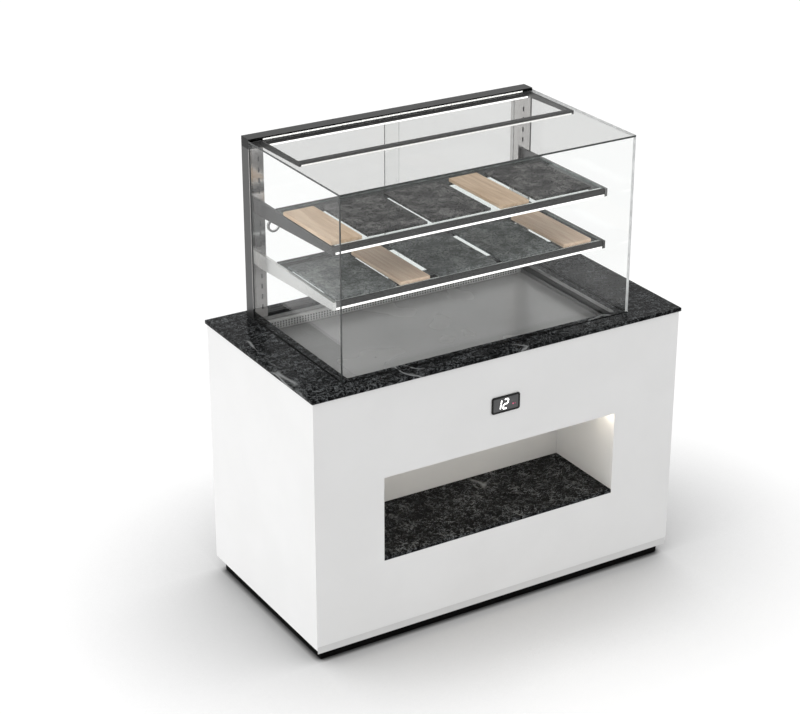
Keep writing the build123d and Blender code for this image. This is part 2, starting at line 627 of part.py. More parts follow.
def worktop():
    x = WORKTOP_WIDTH / 2
    y = WORKTOP_DEPTH / 2
    slab = block(-x, x, -y, y, STONE_Z, WORKTOP_HEIGHT)
    slab = chamfer(slab.edges().group_by(Axis.Z)[-1], STONE_ARRIS)
    middle = Plane(origin=((WELL_X0 + WELL_X1) / 2, (WELL_Y0 + WELL_Y1) / 2, STONE_Z))
    outline = RectangleRounded(WELL_X1 - WELL_X0, WELL_Y1 - WELL_Y0, WELL_CORNER)
    opening = extrude(middle * outline, amount=STONE_T)
    return slab - opening


def ledge_vents(y_middle):
    """Air slots along a ledge of the tub."""
    vents = []
    for i in range(LEDGE_VENTS):
        x0 = TUB_X0 + i * LEDGE_VENT_PITCH + LEDGE_VENT_BAR / 2
        x1 = x0 + LEDGE_VENT_PITCH - LEDGE_VENT_BAR
        vents.append(block(x0, x1, y_middle - LEDGE_VENT_DEPTH / 2, y_middle + LEDGE_VENT_DEPTH / 2,
                           DECK_Z - LEDGE_T, DECK_Z))
    return vents


def floor_holes(z0, z1):
    """Ways through the tub floor for the pipes and the drain."""
    liquid = LIQUID_PIPE_DIAMETER / 2 + PIPE_HOLE_FIT
    suction = SUCTION_PIPE_DIAMETER / 2 + PIPE_HOLE_FIT
    return [
        rod((LIQUID_RISER_X, CONDENSER_TUBE_Y, z0), (LIQUID_RISER_X, CONDENSER_TUBE_Y, z1), liquid),
        rod((SUCTION_X, SUCTION_OUT[1], z0), (SUCTION_X, SUCTION_OUT[1], z1), suction),
        rod((DRAIN_X, DRAIN_Y, z0), (DRAIN_X, DRAIN_Y, z1), DRAIN_DIAMETER / 2),
    ]


def well_tub():
    """The stainless tub under the stone, welded from a floor, four walls and a flange round its rim."""
    x0 = TUB_X0 - TUB_T
    x1 = TUB_X1 + TUB_T
    y0 = TUB_Y0 - TUB_T
    y1 = TUB_Y1 + TUB_T
    floor_z = TUB_FLOOR - TUB_T
    floor = block(x0, x1, y0, y1, floor_z, TUB_FLOOR) - floor_holes(floor_z, TUB_FLOOR)
    walls = [block(x0, TUB_X0, y0, y1, TUB_FLOOR, STONE_Z),
             block(TUB_X1, x1, y0, y1, TUB_FLOOR, STONE_Z),
             block(TUB_X0, TUB_X1, y0, TUB_Y0, TUB_FLOOR, STONE_Z),
             block(TUB_X0, TUB_X1, TUB_Y1, y1, TUB_FLOOR, STONE_Z)]
    rim_x0 = TUB_X0 - TUB_FLANGE
    rim_x1 = TUB_X1 + TUB_FLANGE
    rim_y0 = TUB_Y0 - TUB_FLANGE
    rim_y1 = TUB_Y1 + TUB_FLANGE
    rim_z = STONE_Z - TUB_T
    flange = [block(rim_x0, x0, rim_y0, rim_y1, rim_z, STONE_Z),
              block(x1, rim_x1, rim_y0, rim_y1, rim_z, STONE_Z),
              block(x0, x1, rim_y0, y0, rim_z, STONE_Z), block(x0, x1, y1, rim_y1, rim_z, STONE_Z)]
    return [floor] + walls + flange


def deck_ledges():
    """The two vented strips across the tub that carry the deck and the grille."""
    front = block(TUB_X0, TUB_X1, TUB_Y0, TUB_Y0 + FRONT_LEDGE, DECK_Z - LEDGE_T, DECK_Z)
    rear = block(TUB_X0, TUB_X1, TUB_Y1 - REAR_LEDGE, TUB_Y1, DECK_Z - LEDGE_T, DECK_Z)
    front_vents = ledge_vents(TUB_Y0 + RETURN_SLOT / 2)
    rear_vents = ledge_vents(TUB_Y1 - PLENUM / 2 + GRILLE_T / 2)
    return [front - front_vents, rear - rear_vents]


def well_insulation():
    """The foam tray round the tub, below the top ring of the frame."""
    x0 = TUB_X0 - TUB_T
    x1 = TUB_X1 + TUB_T
    y0 = TUB_Y0 - TUB_T
    y1 = TUB_Y1 + TUB_T
    z0 = TUB_FLOOR - TUB_T
    top = STONE_Z - TUBE - INSULATION_TOP_GAP
    foam = block(x0 - INSULATION_T, x1 + INSULATION_T, y0 - INSULATION_T, y1 + INSULATION_T,
                 z0 - INSULATION_T, top)
    return foam - block(x0, x1, y0, y1, z0, top) - floor_holes(z0 - INSULATION_T, z0)


def deck_plate():
    """The cold deck and the upright strip along each of its ends."""
    x0 = TUB_X0 + DECK_SIDE_FIT
    x1 = TUB_X1 - DECK_SIDE_FIT
    y0 = TUB_Y0 + RETURN_SLOT
    y1 = GRILLE_Y - GRILLE_T
    plate = block(x0 + DECK_T, x1 - DECK_T, y0, y1, DECK_Z, DECK_TOP)
    left_lip = block(x0, x0 + DECK_T, y0, y1, DECK_Z, DECK_TOP + DECK_LIP)
    right_lip = block(x1 - DECK_T, x1, y0, y1, DECK_Z, DECK_TOP + DECK_LIP)
    return [plate, left_lip, right_lip]


def air_grille():
    """The perforated strip that blows cold air over the deck, with its top flange."""
    x0 = TUB_X0 + GRILLE_END_FIT
    x1 = TUB_X1 - GRILLE_END_FIT
    z1 = STONE_Z - TUB_T
    height = z1 - DECK_Z
    face = Plane(origin=((x0 + x1) / 2, GRILLE_Y, (DECK_Z + z1) / 2), x_dir=(1, 0, 0), z_dir=(0, -1, 0))
    holes = GridLocations(GRILLE_HOLE_PITCH, GRILLE_ROW_PITCH, GRILLE_COLUMNS, GRILLE_ROWS)
    sheet = Rectangle(x1 - x0, height) - [place * Circle(GRILLE_HOLE_DIAMETER / 2) for place in holes]
    strip = extrude(face * sheet, amount=GRILLE_T, dir=(0, 1, 0))
    flange = block(x0, x1, GRILLE_Y + GRILLE_T, TUB_Y1, z1 - GRILLE_T, z1)
    return fuse([strip, flange])


# Glass case

def uprights():
    """Two dark posts, each a C section open to the slotted channel in front of it."""
    posts = []
    for side, x_outer in ((1, CASE_X0), (-1, CASE_X1)):
        x_inner = x_outer + side * (UPRIGHT_WIDTH - CHANNEL_T)
        x0, x1 = sorted((x_outer, x_inner))
        post = block(x0, x1, UPRIGHT_Y0 + CHANNEL_T, CASE_Y1, WORKTOP_HEIGHT, BEAM_Z)
        posts.append(post - block(x0 + UPRIGHT_WALL, x1 - UPRIGHT_WALL, UPRIGHT_Y0 + CHANNEL_T,
                                  CASE_Y1 - UPRIGHT_WALL, WORKTOP_HEIGHT, BEAM_Z))
    return posts


def slot_heights():
    """Middle heights of the slots, counted both ways from the upper shelf's upper hook."""
    hook = UPPER_SHELF_HEIGHT - HOOK_LIP - HOOK_HEIGHT + SLOT_HEIGHT / 2
    lowest = WORKTOP_HEIGHT + SLOT_END_GAP + SLOT_HEIGHT / 2
    highest = BEAM_Z - SLOT_END_GAP - SLOT_HEIGHT / 2
    first = hook - int((hook - lowest) / SLOT_PITCH) * SLOT_PITCH
    count = int((highest - first) / SLOT_PITCH) + 1
    return [first + i * SLOT_PITCH for i in range(count)]


def slotted_channels():
    """Polished steel angles that cover the front and the inner side of each post, with the shelf slots."""
    channels = []
    for side, x_outer, x_slot in ((1, CASE_X0, BRACKET_XS[0]), (-1, CASE_X1, BRACKET_XS[1])):
        x_inner = x_outer + side * UPRIGHT_WIDTH
        x0, x1 = sorted((x_outer, x_inner))
        front = block(x0, x1, UPRIGHT_Y0, UPRIGHT_Y0 + CHANNEL_T, WORKTOP_HEIGHT, BEAM_Z)
        leg_x0, leg_x1 = sorted((x_inner, x_inner - side * CHANNEL_T))
        leg = block(leg_x0, leg_x1, UPRIGHT_Y0 + CHANNEL_T, CASE_Y1, WORKTOP_HEIGHT, BEAM_Z)
        slots = []
        for z in slot_heights():
            slots.append(block(x_slot - SLOT_WIDTH / 2, x_slot + SLOT_WIDTH / 2, UPRIGHT_Y0,
                               UPRIGHT_Y0 + CHANNEL_T, z - SLOT_HEIGHT / 2, z + SLOT_HEIGHT / 2))
        channels.append(fuse([front, leg]) - slots)
    return channels


def rear_beam():
    """The dark top beam, with a recess for the door track below and two lamp grooves along its front."""
    beam = block(CASE_X0, CASE_X1, UPRIGHT_Y0, CASE_Y1, BEAM_Z, CASE_TOP + BEAM_PROUD)
    recess = block(OPENING_X0, OPENING_X1, TRACK_Y - TRACK_WIDTH / 2, TRACK_Y + TRACK_WIDTH / 2,
                   BEAM_Z, BEAM_Z + TOP_TRACK_HEIGHT)
    return beam - recess - rear_beam_lamps()


def rear_beam_lamps():
    """The lower lamp runs from arm to arm; the upper one stops short of the right side."""
    lamps = []
    for x1, z0 in ((ARM_XS[1], BEAM_Z), (CASE_X1 - UPPER_LAMP_GAP, CASE_TOP - BEAM_LAMP)):
        lamps.append(block(OPENING_X0, x1, UPRIGHT_Y0, UPRIGHT_Y0 + BEAM_LAMP, z0, z0 + BEAM_LAMP))
    return lamps


def door_track(z0, z1, groove_z0, groove_z1):
    """A two-groove track between the posts."""
    track = block(OPENING_X0, OPENING_X1, TRACK_Y - TRACK_WIDTH / 2, TRACK_Y + TRACK_WIDTH / 2, z0, z1)
    for y in (LEFT_DOOR_Y, RIGHT_DOOR_Y):
        track -= block(OPENING_X0, OPENING_X1, y - GROOVE_WIDTH / 2, y + GROOVE_WIDTH / 2,
                       groove_z0, groove_z1)
    return track


def door_glass(x0, y):
    """A sliding pane with its finger hole near the outer edge."""
    pane = block(x0, x0 + DOOR_WIDTH, y - DOOR_T / 2, y + DOOR_T / 2, DOOR_Z0, DOOR_Z1)
    x = pull_x(x0)
    return pane - rod((x, y - DOOR_T, PULL_Z), (x, y + DOOR_T, PULL_Z), PULL_HOLE_DIAMETER / 2)


def pull_x(x0):
    """The finger hole is beside the outer post."""
    if x0 == LEFT_DOOR_X:
        return x0 + PULL_EDGE
    return x0 + DOOR_WIDTH - PULL_EDGE


def door_pull(x0, y):
    """A steel ring in the finger hole, with a flange on each face of the glass."""
    x = pull_x(x0)
    face = DOOR_T / 2
    sleeve = rod((x, y - face, PULL_Z), (x, y + face, PULL_Z), PULL_HOLE_DIAMETER / 2 - PULL_FIT)
    front = rod((x, y - face - PULL_FLANGE_T, PULL_Z), (x, y - face, PULL_Z), PULL_FLANGE_DIAMETER / 2)
    rear = rod((x, y + face, PULL_Z), (x, y + face + PULL_FLANGE_T, PULL_Z), PULL_FLANGE_DIAMETER / 2)
    reach = face + PULL_FLANGE_T
    bore = rod((x, y - reach, PULL_Z), (x, y + reach, PULL_Z), PULL_BORE_DIAMETER / 2)
    return fuse([sleeve, front, rear]) - bore


def front_glass():
    return block(CASE_X0, CASE_X1, CASE_Y0, CASE_Y0 + GLASS_T, WORKTOP_HEIGHT, ARM_TOP)


def side_glass(x0):
    return block(x0, x0 + GLASS_T, CASE_Y0 + GLASS_T, UPRIGHT_Y0, WORKTOP_HEIGHT, ARM_TOP)


def top_glass():
    return block(CASE_X0, CASE_X1, CASE_Y0, UPRIGHT_Y0, ARM_TOP, CASE_TOP)


# Shelves

def hook_outline(z):
    """A bracket hook that drops behind the channel, from its top edge at z."""
    y0 = UPRIGHT_Y0
    y1 = UPRIGHT_Y0 + HOOK_REACH
    lip_y = y1 - HOOK_LIP_T
    foot = z - HOOK_HEIGHT
    return [(y0, z), (y1, z), (y1, foot - HOOK_LIP), (lip_y, foot - HOOK_LIP), (lip_y, foot), (y0, foot)]


def shelf_bracket(x, top):
    """A tapered plate with two hooks in the slots."""
    y0 = SHELF_FRONT_Y - BRACKET_NOSE
    outline = [(y0, top), (UPRIGHT_Y0, top), (UPRIGHT_Y0, top - BRACKET_REAR_HEIGHT),
               (y0, top - BRACKET_FRONT_HEIGHT)]
    pieces = [prism_x(outline, x - BRACKET_T / 2, x + BRACKET_T / 2)]
    for z in (top - HOOK_LIP, top - HOOK_LIP - SLOT_PITCH):
        pieces.append(prism_x(hook_outline(z), x - HOOK_T / 2, x + HOOK_T / 2))
    return fuse(pieces)


def shelf_brackets():
    return [shelf_bracket(x, top) for top in SHELF_HEIGHTS for x in BRACKET_XS]


def shelf_lamp(top):
    z0 = top - BRACKET_FRONT_HEIGHT
    return block(RAIL_X0, RAIL_X1, SHELF_FRONT_Y, SHELF_FRONT_Y + SHELF_LAMP_DEPTH,
                 z0, z0 + SHELF_LAMP_HEIGHT)


def light_bar_lamp():
    z0 = ARM_TOP - LIGHT_BAR_HEIGHT
    return block(ARM_XS[0], ARM_XS[1], LIGHT_BAR_Y, LIGHT_BAR_Y + SHELF_LAMP_DEPTH,
                 z0, z0 + BAR_LAMP_HEIGHT)


def shelf_front_rail(top):
    """A seat for the glass, with a lip in front of the glass and a lamp groove along the lower edge."""
    y1 = SHELF_FRONT_Y + RAIL_DEPTH
    lip_y = SHELF_FRONT_Y + RAIL_LIP_T
    foot = top - BRACKET_FRONT_HEIGHT
    seat = top - SHELF_GLASS_DROP
    outline = [(SHELF_FRONT_Y, foot), (y1, foot), (y1, seat), (lip_y, seat), (lip_y, seat + GLASS_T),
               (SHELF_FRONT_Y, seat + GLASS_T)]
    return prism_x(outline, RAIL_X0, RAIL_X1) - shelf_lamp(top)


def shelf_rear_rail(top):
    """An L section: a seat for the glass and a stop behind the glass."""
    y1 = REAR_STOP_Y + REAR_STOP_DEPTH
    y0 = y1 - REAR_RAIL_DEPTH
    seat = top - SHELF_GLASS_DROP
    outline = [(y0, seat - REAR_RAIL_HEIGHT), (y1, seat - REAR_RAIL_HEIGHT), (y1, seat + REAR_STOP_HEIGHT),
               (REAR_STOP_Y, seat + REAR_STOP_HEIGHT), (REAR_STOP_Y, seat), (y0, seat)]
    return prism_x(outline, RAIL_X0, RAIL_X1)


def shelf_glass(top):
    z0 = top - SHELF_GLASS_DROP
    return block(RAIL_X0 + SHELF_GLASS_FIT, RAIL_X1 - SHELF_GLASS_FIT, SHELF_GLASS_Y,
                 REAR_STOP_Y - SHELF_GLASS_FIT, z0, z0 + GLASS_T)


def boards(kind):
    """The serving boards of one kind on both shelves, laid from the left for as long as the rail has room."""
    widths = {"slate": SLATE_WIDTH, "wood": WOOD_WIDTH}
    thickness = {"slate": SLATE_T, "wood": WOOD_T}
    laid = []
    for top, row in ((LOWER_SHELF_HEIGHT, LOWER_BOARDS), (UPPER_SHELF_HEIGHT, UPPER_BOARDS)):
        x = RAIL_X0
        z0 = top - SHELF_GLASS_DROP + GLASS_T
        for name, gap, front_gap in row:
            x += gap
            y0 = SHELF_GLASS_Y + front_gap
            fits = x + widths[name] <= RAIL_X1
            if name == kind and fits:
                laid.append(block(x, x + widths[name], y0, BOARD_Y1, z0, z0 + thickness[name]))
            x += widths[name]
    return laid


def light_arms():
    """Tapered arms under the top glass, from the beam to the light bar; the right one is beside the pane."""
    outline = [(LIGHT_BAR_Y, ARM_TOP), (UPRIGHT_Y0, ARM_TOP), (UPRIGHT_Y0, ARM_TOP - ARM_REAR_HEIGHT),
               (LIGHT_BAR_Y, ARM_TOP - LIGHT_BAR_HEIGHT)]
    left = prism_x(outline, ARM_XS[0] - ARM_T, ARM_XS[0])
    right = prism_x(outline, ARM_XS[1], ARM_XS[1] + ARM_T)
    return [left, right]


def light_bar():
    bar = block(ARM_XS[0], ARM_XS[1], LIGHT_BAR_Y, LIGHT_BAR_Y + LIGHT_BAR_DEPTH,
                ARM_TOP - LIGHT_BAR_HEIGHT, ARM_TOP)
    return bar - light_bar_lamp()


def shelf_lamps():
    return [shelf_lamp(top) for top in SHELF_HEIGHTS] + [light_bar_lamp()]


# Refrigeration machinery

def fan_sizes(size, depth):
    """Radii and lengths shared by a fan's frame and its rotor."""
    bore = size / 2 - FAN_WALL
    hub = bore * 0.32
    motor_length = depth * 0.35
    return bore, hub, motor_length


def fan_place(x, y, z):
    """A fan's frame of reference, with its shaft along +Y."""
    return Plane(origin=(x, y, z), x_dir=(1, 0, 0), z_dir=(0, 1, 0))


def fan_frame(size, depth):
    """A square frame with a round duct, a motor on four arms and its shaft, along +Z."""
    bore, hub, motor_length = fan_sizes(size, depth)
    foot = -depth / 2
    motor_top = foot + motor_length
    shaft_top = depth / 2 - FAN_WALL
    frame = Box(size, size, depth) - Cylinder(bore, depth)
    arm_t = motor_length / 2
    arm_z = foot + arm_t / 2
    reach = 2 * bore + FAN_WALL
    pieces = [frame]
    pieces.append(Pos(0, 0, arm_z) * Box(reach, 2 * FAN_WALL, arm_t))
    pieces.append(Pos(0, 0, arm_z) * Box(2 * FAN_WALL, reach, arm_t))
    pieces.append(rod((0, 0, foot), (0, 0, motor_top), hub))
    pieces.append(rod((0, 0, motor_top), (0, 0, shaft_top), SHAFT_DIAMETER / 2))
    return fuse(pieces)


def fan_rotor(size, depth, blades):
    """A hub that runs on the shaft, with pitched blades."""
    bore, hub, motor_length = fan_sizes(size, depth)
    z0 = -depth / 2 + motor_length + SHAFT_CLEARANCE
    z1 = depth / 2 - FAN_WALL
    middle = (z0 + z1) / 2
    tip = bore - FAN_TIP_GAP
    chord = (z1 - z0) * 1.5
    blade_length = tip - hub * 0.6
    blade = Pos(hub * 0.6 + blade_length / 2, 0, middle) * Rot(35, 0, 0) * Box(blade_length, chord, 2)
    pieces = [rod((0, 0, z0), (0, 0, z1), hub)]
    pieces += [Rot(0, 0, 360 * i / blades) * blade for i in range(blades)]
    trim = rod((0, 0, z0), (0, 0, z1), tip)
    shaft_hole = rod((0, 0, z0), (0, 0, z1), SHAFT_DIAMETER / 2 + SHAFT_CLEARANCE)
    return (fuse(pieces) & trim) - shaft_hole


def finned_coil(x0, x1, y0, y1, z0, z1, tubes, stubs):
    """Upright fins between two end plates on straight tubes, with stub ends at the given (y, z) places."""
    pieces = []
    count = int((x1 - x0) / FIN_PITCH)
    pitch = (x1 - x0 - FIN_T) / count
    for i in range(count + 1):
        x = x0 + i * pitch
        pieces.append(block(x, x + FIN_T, y0, y1, z0, z1))
    for y, z in tubes:
        pieces.append(rod((x0, y, z), (x1, y, z), COIL_TUBE_DIAMETER / 2))
    for y, z, reach, radius in stubs:
        pieces.append(rod((x1, y, z), (x1 + reach, y, z), radius))
    return fuse(pieces)


def evaporator():
    rows = (COIL_Y - COIL_ROW_PITCH / 2, COIL_Y + COIL_ROW_PITCH / 2)
    levels = (COIL_Z - COIL_LEVEL_PITCH / 2, COIL_Z + COIL_LEVEL_PITCH / 2)
    tubes = [(y, z) for y in rows for z in levels]
    stubs = [(LIQUID_IN[1], LIQUID_IN[2], COIL_STUB, LIQUID_PIPE_DIAMETER / 2),
             (SUCTION_OUT[1], SUCTION_OUT[2], COIL_STUB, SUCTION_PIPE_DIAMETER / 2)]
    return finned_coil(COIL_X0, COIL_X1, COIL_Y - COIL_DEPTH / 2, COIL_Y + COIL_DEPTH / 2,
                       TUB_FLOOR, TUB_FLOOR + COIL_HEIGHT, tubes, stubs)


def condenser():
    levels = 5
    step = CONDENSER_HEIGHT / levels
    tubes = [(CONDENSER_TUBE_Y, FLOOR_Z + (i + 0.5) * step) for i in range(levels)]
    stubs = [(CONDENSER_TUBE_Y, CONDENSER_IN_Z, CONDENSER_STUB, DISCHARGE_PIPE_DIAMETER / 2),
             (CONDENSER_TUBE_Y, CONDENSER_OUT_Z, CONDENSER_STUB, LIQUID_PIPE_DIAMETER / 2)]
    return finned_coil(CONDENSER_X1 - CONDENSER_WIDTH, CONDENSER_X1, CONDENSER_Y0, CONDENSER_Y1,
                       FLOOR_Z, FLOOR_Z + CONDENSER_HEIGHT, tubes, stubs)


def compressor():
    """A sealed compressor on a foot plate with four rubber feet, a terminal box and two stubs."""
    radius = COMPRESSOR_DIAMETER / 2
    shell = rod((COMPRESSOR_X, COMPRESSOR_Y, COMPRESSOR_BASE),
                (COMPRESSOR_X, COMPRESSOR_Y, COMPRESSOR_TOP), radius)
    shell = fillet(shell.edges().group_by(Axis.Z)[-1], radius / 2)
    shell = fillet(shell.edges().group_by(Axis.Z)[0], radius / 4)
    pieces = [shell]
    plate_z = FLOOR_Z + COMPRESSOR_FOOT_HEIGHT
    pieces.append(block(COMPRESSOR_X - radius, COMPRESSOR_X + radius,
                        COMPRESSOR_Y - radius, COMPRESSOR_Y + radius, plate_z, COMPRESSOR_BASE))
    inset = radius - COMPRESSOR_FOOT_DIAMETER / 2
    for x in (COMPRESSOR_X - inset, COMPRESSOR_X + inset):
        for y in (COMPRESSOR_Y - inset, COMPRESSOR_Y + inset):
            pieces.append(rod((x, y, FLOOR_Z), (x, y, plate_z), COMPRESSOR_FOOT_DIAMETER / 2))
    box_z = (COMPRESSOR_BASE + COMPRESSOR_TOP) / 2
    pieces.append(block(COMPRESSOR_X + radius / 2, COMPRESSOR_X + radius * 1.4, COMPRESSOR_Y - radius / 2,
                        COMPRESSOR_Y + radius / 2, box_z - radius / 2, box_z + radius / 2))
    pieces.append(rod((DISCHARGE_X, COMPRESSOR_Y, DISCHARGE_Z), (COMPRESSOR_X, COMPRESSOR_Y, DISCHARGE_Z),
                      DISCHARGE_PIPE_DIAMETER / 2))
    stub_top = COMPRESSOR_TOP + COMPRESSOR_STUB
    pieces.append(rod((SUCTION_X, SUCTION_OUT[1], COMPRESSOR_TOP - radius),
                      (SUCTION_X, SUCTION_OUT[1], stub_top), SUCTION_PIPE_DIAMETER / 2))
    return fuse(pieces)


def refrigerant_pipes():
    """Discharge, condensate, liquid and suction lines, each from stub to stub."""
    turn_x = (DISCHARGE_X + CONDENSER_STUB_X) / 2
    discharge = pipe([(DISCHARGE_X, COMPRESSOR_Y, DISCHARGE_Z), (turn_x, COMPRESSOR_Y, DISCHARGE_Z),
                      (turn_x, CONDENSER_TUBE_Y, DISCHARGE_Z), (turn_x, CONDENSER_TUBE_Y, CONDENSER_IN_Z),
                      (CONDENSER_STUB_X, CONDENSER_TUBE_Y, CONDENSER_IN_Z)], DISCHARGE_PIPE_DIAMETER)
    condensate = rod((CONDENSER_STUB_X, CONDENSER_TUBE_Y, CONDENSER_OUT_Z),
                     (DRIER_X0, CONDENSER_TUBE_Y, CONDENSER_OUT_Z), LIQUID_PIPE_DIAMETER / 2)
    bore = rod((CONDENSER_STUB_X, CONDENSER_TUBE_Y, CONDENSER_OUT_Z),
               (DRIER_X0, CONDENSER_TUBE_Y, CONDENSER_OUT_Z), LIQUID_PIPE_DIAMETER / 2 - PIPE_WALL)
    liquid = pipe([(DRIER_X1, CONDENSER_TUBE_Y, CONDENSER_OUT_Z),
                   (LIQUID_RISER_X, CONDENSER_TUBE_Y, CONDENSER_OUT_Z),
                   (LIQUID_RISER_X, CONDENSER_TUBE_Y, LIQUID_IN[2]),
                   (LIQUID_RISER_X, LIQUID_IN[1], LIQUID_IN[2]), LIQUID_IN], LIQUID_PIPE_DIAMETER)
    suction = pipe([SUCTION_OUT, (SUCTION_X, SUCTION_OUT[1], SUCTION_OUT[2]),
                    (SUCTION_X, SUCTION_OUT[1], COMPRESSOR_TOP + COMPRESSOR_STUB)], SUCTION_PIPE_DIAMETER)
    return [discharge, condensate - bore, liquid, suction]


def filter_drier():
    body = rod((DRIER_X0, CONDENSER_TUBE_Y, CONDENSER_OUT_Z), (DRIER_X1, CONDENSER_TUBE_Y, CONDENSER_OUT_Z),
               DRIER_DIAMETER / 2)
    return chamfer(body.edges().filter_by(GeomType.CIRCLE), DRIER_DIAMETER / 4)


def drain_pipe():
    foot = FLOOR_Z + DRAIN_END_GAP
    radius = DRAIN_DIAMETER / 2
    outside = rod((DRAIN_X, DRAIN_Y, foot), (DRAIN_X, DRAIN_Y, TUB_FLOOR), radius)
    return outside - rod((DRAIN_X, DRAIN_Y, foot), (DRAIN_X, DRAIN_Y, TUB_FLOOR), radius - DRAIN_WALL)


def condensate_tray():
    x0 = DRAIN_X - TRAY_WIDTH / 2
    x1 = DRAIN_X + TRAY_WIDTH / 2
    y0 = DRAIN_Y - TRAY_DEPTH / 2
    y1 = DRAIN_Y + TRAY_DEPTH / 2
    pan = block(x0, x1, y0, y1, FLOOR_Z, FLOOR_Z + TRAY_HEIGHT)
    return pan - block(x0 + TRAY_WALL, x1 - TRAY_WALL, y0 + TRAY_WALL, y1 - TRAY_WALL,
                       FLOOR_Z + TRAY_WALL, FLOOR_Z + TRAY_HEIGHT)


COOLER_FAN = fan_place(COIL_X, COOLER_FAN_Y, COOLER_FAN_Z)
CONDENSER_FAN = fan_place(CONDENSER_X, CONDENSER_FAN_Y, CONDENSER_FAN_Z)

NODES = {
    "plinth_boards": plinth_boards(),
    "levelling_feet": levelling_feet(),
    "steel_frame": steel_frame(),
    "base_plate": base_plate(),
    "front_panel": front_panel(),
    "left_side_panel": side_panel(-1),
    "right_side_panel": side_panel(1),
    "base_rails": base_rails(),
    "rear_panel": rear_panel(),
    "rear_vent_panel": rear_vent_panel(),
    "service_door": service_door(),
    "service_door_pivots": service_door_pivots(),
    "cable_gland": cable_gland(),
    "niche_liner": niche_liner(),
    "niche_stone_shelf": niche_stone_shelf(),
    "niche_lamp": niche_lamp(),
    "controller": controller(),
    "controller_window": controller_window(),
    "worktop": worktop(),
    "well_tub": well_tub(),
    "deck_ledges": deck_ledges(),
    "well_insulation": well_insulation(),
    "deck_plate": deck_plate(),
    "air_grille": air_grille(),
    "uprights": uprights(),
    "slotted_channels": slotted_channels(),
    "rear_beam": rear_beam(),
    "rear_beam_lamps": rear_beam_lamps(),
    "door_track_top": door_track(BEAM_Z, BEAM_Z + TOP_TRACK_HEIGHT, BEAM_Z, BEAM_Z + TOP_GROOVE_DEPTH),
    "door_track_bottom": door_track(WORKTOP_HEIGHT, WORKTOP_HEIGHT + BOTTOM_TRACK_HEIGHT,
                                    WORKTOP_HEIGHT + BOTTOM_TRACK_HEIGHT - BOTTOM_GROOVE_DEPTH,
                                    WORKTOP_HEIGHT + BOTTOM_TRACK_HEIGHT),
    "left_door_glass": door_glass(LEFT_DOOR_X, LEFT_DOOR_Y),
    "right_door_glass": door_glass(RIGHT_DOOR_X, RIGHT_DOOR_Y),
    "left_door_pull": door_pull(LEFT_DOOR_X, LEFT_DOOR_Y),
    "right_door_pull": door_pull(RIGHT_DOOR_X, RIGHT_DOOR_Y),
    "front_glass": front_glass(),
    "left_glass": side_glass(CASE_X0),
    "right_glass": side_glass(CASE_X1 - GLASS_T),
    "top_glass": top_glass(),
    "light_arms": light_arms(),
    "light_bar": light_bar(),
    "shelf_lamps": shelf_lamps(),
    "shelf_brackets": shelf_brackets(),
    "upper_front_rail": shelf_front_rail(UPPER_SHELF_HEIGHT),
    "lower_front_rail": shelf_front_rail(LOWER_SHELF_HEIGHT),
    "shelf_rear_rails": [shelf_rear_rail(top) for top in SHELF_HEIGHTS],
    "upper_shelf_glass": shelf_glass(UPPER_SHELF_HEIGHT),
    "lower_shelf_glass": shelf_glass(LOWER_SHELF_HEIGHT),
    "slate_boards": boards("slate"),
    "wooden_boards": boards("wood"),
    "evaporator": evaporator(),
    "evaporator_fan_frame": COOLER_FAN * fan_frame(COOLER_FAN_SIZE, COOLER_FAN_DEPTH),
    "evaporator_fan": COOLER_FAN * fan_rotor(COOLER_FAN_SIZE, COOLER_FAN_DEPTH, COOLER_FAN_BLADES),
    "compressor": compressor(),
    "condenser": condenser(),
    "condenser_fan_frame": CONDENSER_FAN * fan_frame(CONDENSER_FAN_SIZE, CONDENSER_FAN_DEPTH),
    "condenser_fan": CONDENSER_FAN * fan_rotor(CONDENSER_FAN_SIZE, CONDENSER_FAN_DEPTH,
                                               CONDENSER_FAN_BLADES),
    "refrigerant_pipes": refrigerant_pipes(),
    "filter_drier": filter_drier(),
    "drain_pipe": drain_pipe(),
    "condensate_tray": condensate_tray(),
}

os.makedirs("parts", exist_ok=True)
for name, shape in NODES.items():
    if isinstance(shape, list):
        shape = Compound(children=shape)
    export_step(shape, f"parts/{name}.step")
print(len(NODES), "nodes")
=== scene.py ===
"""The looks of a refrigerated buffet counter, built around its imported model. Sizes are in metres."""

import json
import math

import bmesh
import bpy
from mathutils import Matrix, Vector, noise

